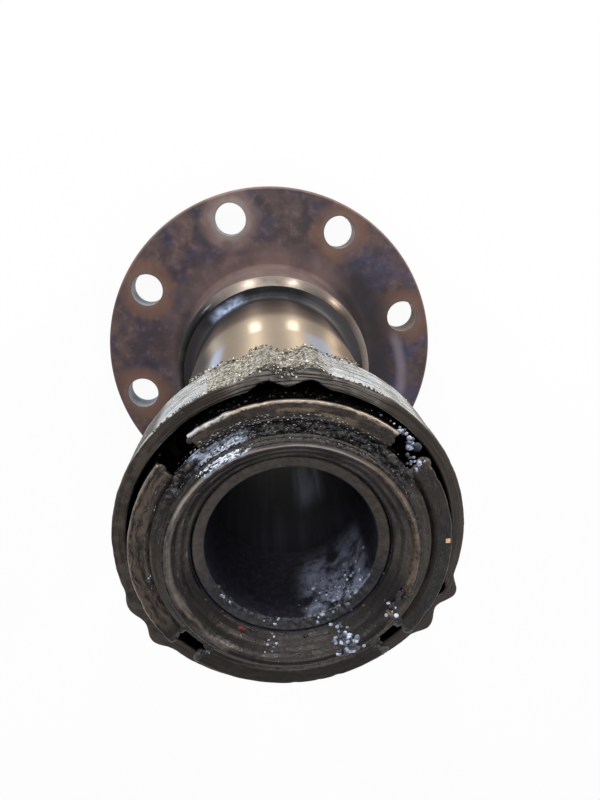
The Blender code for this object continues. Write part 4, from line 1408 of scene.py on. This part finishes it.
def make_lumps(material):
    """Dark lumps of grease along the bush's lower edge, at the cone's foot, in the slots and the keyway."""
    random = np.random.default_rng(51)
    places = []
    for _ in range(46):
        angle = radians(random.uniform(-155.0, -18.0))
        radius = random.choice((17.7, 20.1), p=(0.7, 0.3)) * MM + random.normal(0.0, 0.3) * MM
        size = MM * random.uniform(0.4, 1.0)
        places.append(facing_up(radius, angle, front_height(radius, angle) - 0.1 * size, size))
    # Grease that hangs over the slots' edges and rounds them
    for slot, number, low, high in EDGE_LUMPS:
        for _ in range(number):
            size = MM * random.uniform(low, high)
            across = random.choice((-1.0, 1.0)) * (SLOT_HALF_WIDTH + random.uniform(-0.2, 0.35) * size)
            radius = random.uniform(SLOT_FLOOR + 0.3 * MM, NUT_RADIUS - 0.8 * MM)
            if random.uniform() < 0.35:
                radius, across = SLOT_FLOOR, random.uniform(-1.0, 1.0) * SLOT_HALF_WIDTH
            turn = slot_centre(slot) + atan2(across, radius)
            places.append(facing_up(hypot(radius, across), turn, NUT_TOP - 0.45 * size, size))
    # Grease in the corners and sides of the two lower slots, and packed into the keyway
    for slot in (2, 3):
        for side in (-1.0, 1.0):
            for radius in (27.3 * MM, 31.0 * MM):
                turn = slot_centre(slot) + side * atan2(SLOT_HALF_WIDTH - 0.2 * MM, radius)
                places.append(facing_up(radius, turn, NUT_TOP - 0.9 * MM, 2.6 * MM))
            for _ in range(5):
                size = MM * random.uniform(1.2, 2.2)
                across = SLOT_HALF_WIDTH - random.uniform(0.0, 1.0) * MM
                turn = slot_centre(slot) + side * atan2(across, 29 * MM)
                places.append(facing_up(random.uniform(27.0, 31.4) * MM, turn, NUT_TOP - 1.2 * MM, size))
    for _ in range(40):
        turn = KEYWAY_ANGLE + random.normal(0.0, 0.08)
        size = MM * random.uniform(1.0, 2.0)
        radius = random.uniform(24.0, 27.0) * MM
        places.append(facing_up(radius, turn, NUT_TOP - random.uniform(0.4, 1.2) * MM, size))
    scatter("grease_lumps", places, material, "bush_bronze", 52, detail=2, roughness=0.07)


def make_glitter(material):
    """Tiny wet facets on the black grease round the top of the nose and on the nut's inner face."""
    random = np.random.default_rng(41)
    places = []
    for _ in range(190):
        start = radians(random.normal(93.0, 28.0))
        radius = (25.3 + 4.2 * random.uniform() ** 1.3) * MM
        for step in range(random.integers(2, 14)):
            angle = start + step * 0.45 * MM / radius * random.uniform(0.7, 1.6)
            place_radius = radius + random.normal(0.0, 0.05) * MM
            height = front_height(place_radius, angle) - 0.02 * MM
            places.append(facing_up(place_radius, angle, height, MM * random.uniform(0.08, 0.24)))
    # Facets painted as silvery glint streaks at the upper left of the nose
    for _ in range(420):
        angle = radians(random.normal(121.0, 5.5))
        radius = random.uniform(24.3, 26.4) * MM
        height = front_height(radius, angle) + (0.3 if radius > THREAD_RADIUS else 0.05) * MM
        places.append(facing_up(radius, angle, height, MM * random.uniform(0.12, 0.45)))
    scatter("grease_glitter", places, material, "nut_steel", 42, flat=True, along=True)


# Surroundings


def make_floor():
    """Pale square floor under the part."""
    half = 0.5 * FLOOR_SIDE
    corners = [(x * half, y * half, 0.0) for x, y in ((-1, -1), (1, -1), (1, 1), (-1, 1))]
    mesh = bpy.data.meshes.new("floor")
    mesh.from_pydata(corners, [], [(0, 1, 2, 3)])
    mesh.materials.append(floor_white())
    floor = put("floor", mesh)


def make_world():
    """Soft sky: pale at the horizon and dimmer overhead."""
    world = bpy.data.worlds.new("studio")
    bpy.context.scene.world = world
    world.use_nodes = True
    tree = world.node_tree
    place = add_node(tree, "ShaderNodeTexCoord").outputs["Generated"]
    height = add_node(tree, "ShaderNodeSeparateXYZ", {0: place}).outputs[2]
    values = {0: height, 1: SKY_LOW, 2: SKY_HIGH, 3: SKY_AT_HORIZON, 4: SKY_OVERHEAD}
    strength = add_node(tree, "ShaderNodeMapRange", values, interpolation_type="SMOOTHSTEP").outputs[0]
    feed(tree.nodes["Background"].inputs["Color"], SKY_COLOUR)
    feed(tree.nodes["Background"].inputs["Strength"], strength)


def add_lamp(name, azimuth, elevation, distance, width, height, power, colour):
    """Add an area lamp that looks at the middle of the part."""
    lamp = bpy.data.lights.new(name, "AREA")
    lamp.shape = "RECTANGLE"
    lamp.size = width
    lamp.size_y = height
    lamp.energy = power
    lamp.color = colour
    target = Vector((0.0, 0.0, 0.5 * NOSE_TOP))
    turn, lift = radians(azimuth), radians(elevation)
    direction = Vector(at(cos(lift), turn, sin(lift)))
    lamp_object = put(name, lamp)
    lamp_object.location = target + distance * direction
    lamp_object.rotation_euler = direction.to_track_quat("Z", "Y").to_euler()


def make_lamps():
    """Four low lamps that make the streaks on the land, one overhead, and two small ones for sparks."""
    warm = (1.0, 0.94, 0.84)
    cool = (0.76, 0.87, 1.0)
    white = (1.0, 1.0, 1.0)
    add_lamp("lamp_upper_left", 108.0, 12.0, 1.2, 0.055, 0.30, 5.2, warm)
    add_lamp("lamp_upper_right", 75.0, 12.0, 1.2, 0.055, 0.30, 5.2, warm)
    add_lamp("lamp_right", 40.0, 12.0, 1.2, 0.07, 0.30, 4.4, warm)
    add_lamp("lamp_left", 145.0, 12.0, 1.2, 0.08, 0.30, 2.4, cool)
    add_lamp("lamp_overhead", 95.0, 66.0, 1.3, 0.8, 0.8, 6.5, white)
    add_lamp("spark_upper", 112.0, 52.0, 1.2, 0.04, 0.04, 1.2, white)
    add_lamp("spark_lower", -50.0, 50.0, 1.2, 0.04, 0.04, 0.8, cool)


def make_camera():
    """Camera at the photograph's viewing angle."""
    camera = bpy.data.cameras.new("camera")
    camera.lens = CAMERA_LENS
    camera.sensor_width = CAMERA_SENSOR
    camera.clip_start = 0.01
    camera_object = put("camera", camera)
    turn = Matrix((CAMERA_RIGHT, CAMERA_UP, CAMERA_BACK)).transposed()
    camera_object.matrix_world = Matrix.Translation(CAMERA_PLACE) @ turn.to_4x4()
    bpy.context.scene.camera = camera_object


def dress_hidden_nodes():
    """Give the CAD nodes that stay their own materials."""
    finishes = {
        # The adjusting nut and washer are near-black: oily, and painted shade deep in the slots
        "adjusting_nut": plain_steel("adjusting_nut_oily_and_shaded", (7, 6, 8), (17, 15, 17), 0.7, 1.0),
        "lock_washer": plain_steel("washer_oily_and_shaded", (8, 7, 9), (20, 18, 20), 0.7, 1.0),
        "nut_pin": plain_steel("pin_oily", (90, 88, 86), (140, 138, 134), 0.4, 0.9),
        "rear_bush": rear_bronze(),
        "shaft_seal": seal_rubber(),
    }
    for node, material in finishes.items():
        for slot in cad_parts[node].material_slots:
            slot.material = material


make_camera()
make_world()
make_lamps()
make_floor()
dress_hidden_nodes()
make_spindle()
make_cup()
make_lock_nut()
make_nose_bush()
make_groove_grease()
make_cup_crumbs(crumb_grit())
make_gap_crumbs(gap_grit())
make_beads(wet_grease())
make_lumps(dark_grease())
make_glitter(glitter())

bpy.context.scene.view_settings.view_transform = "Standard"
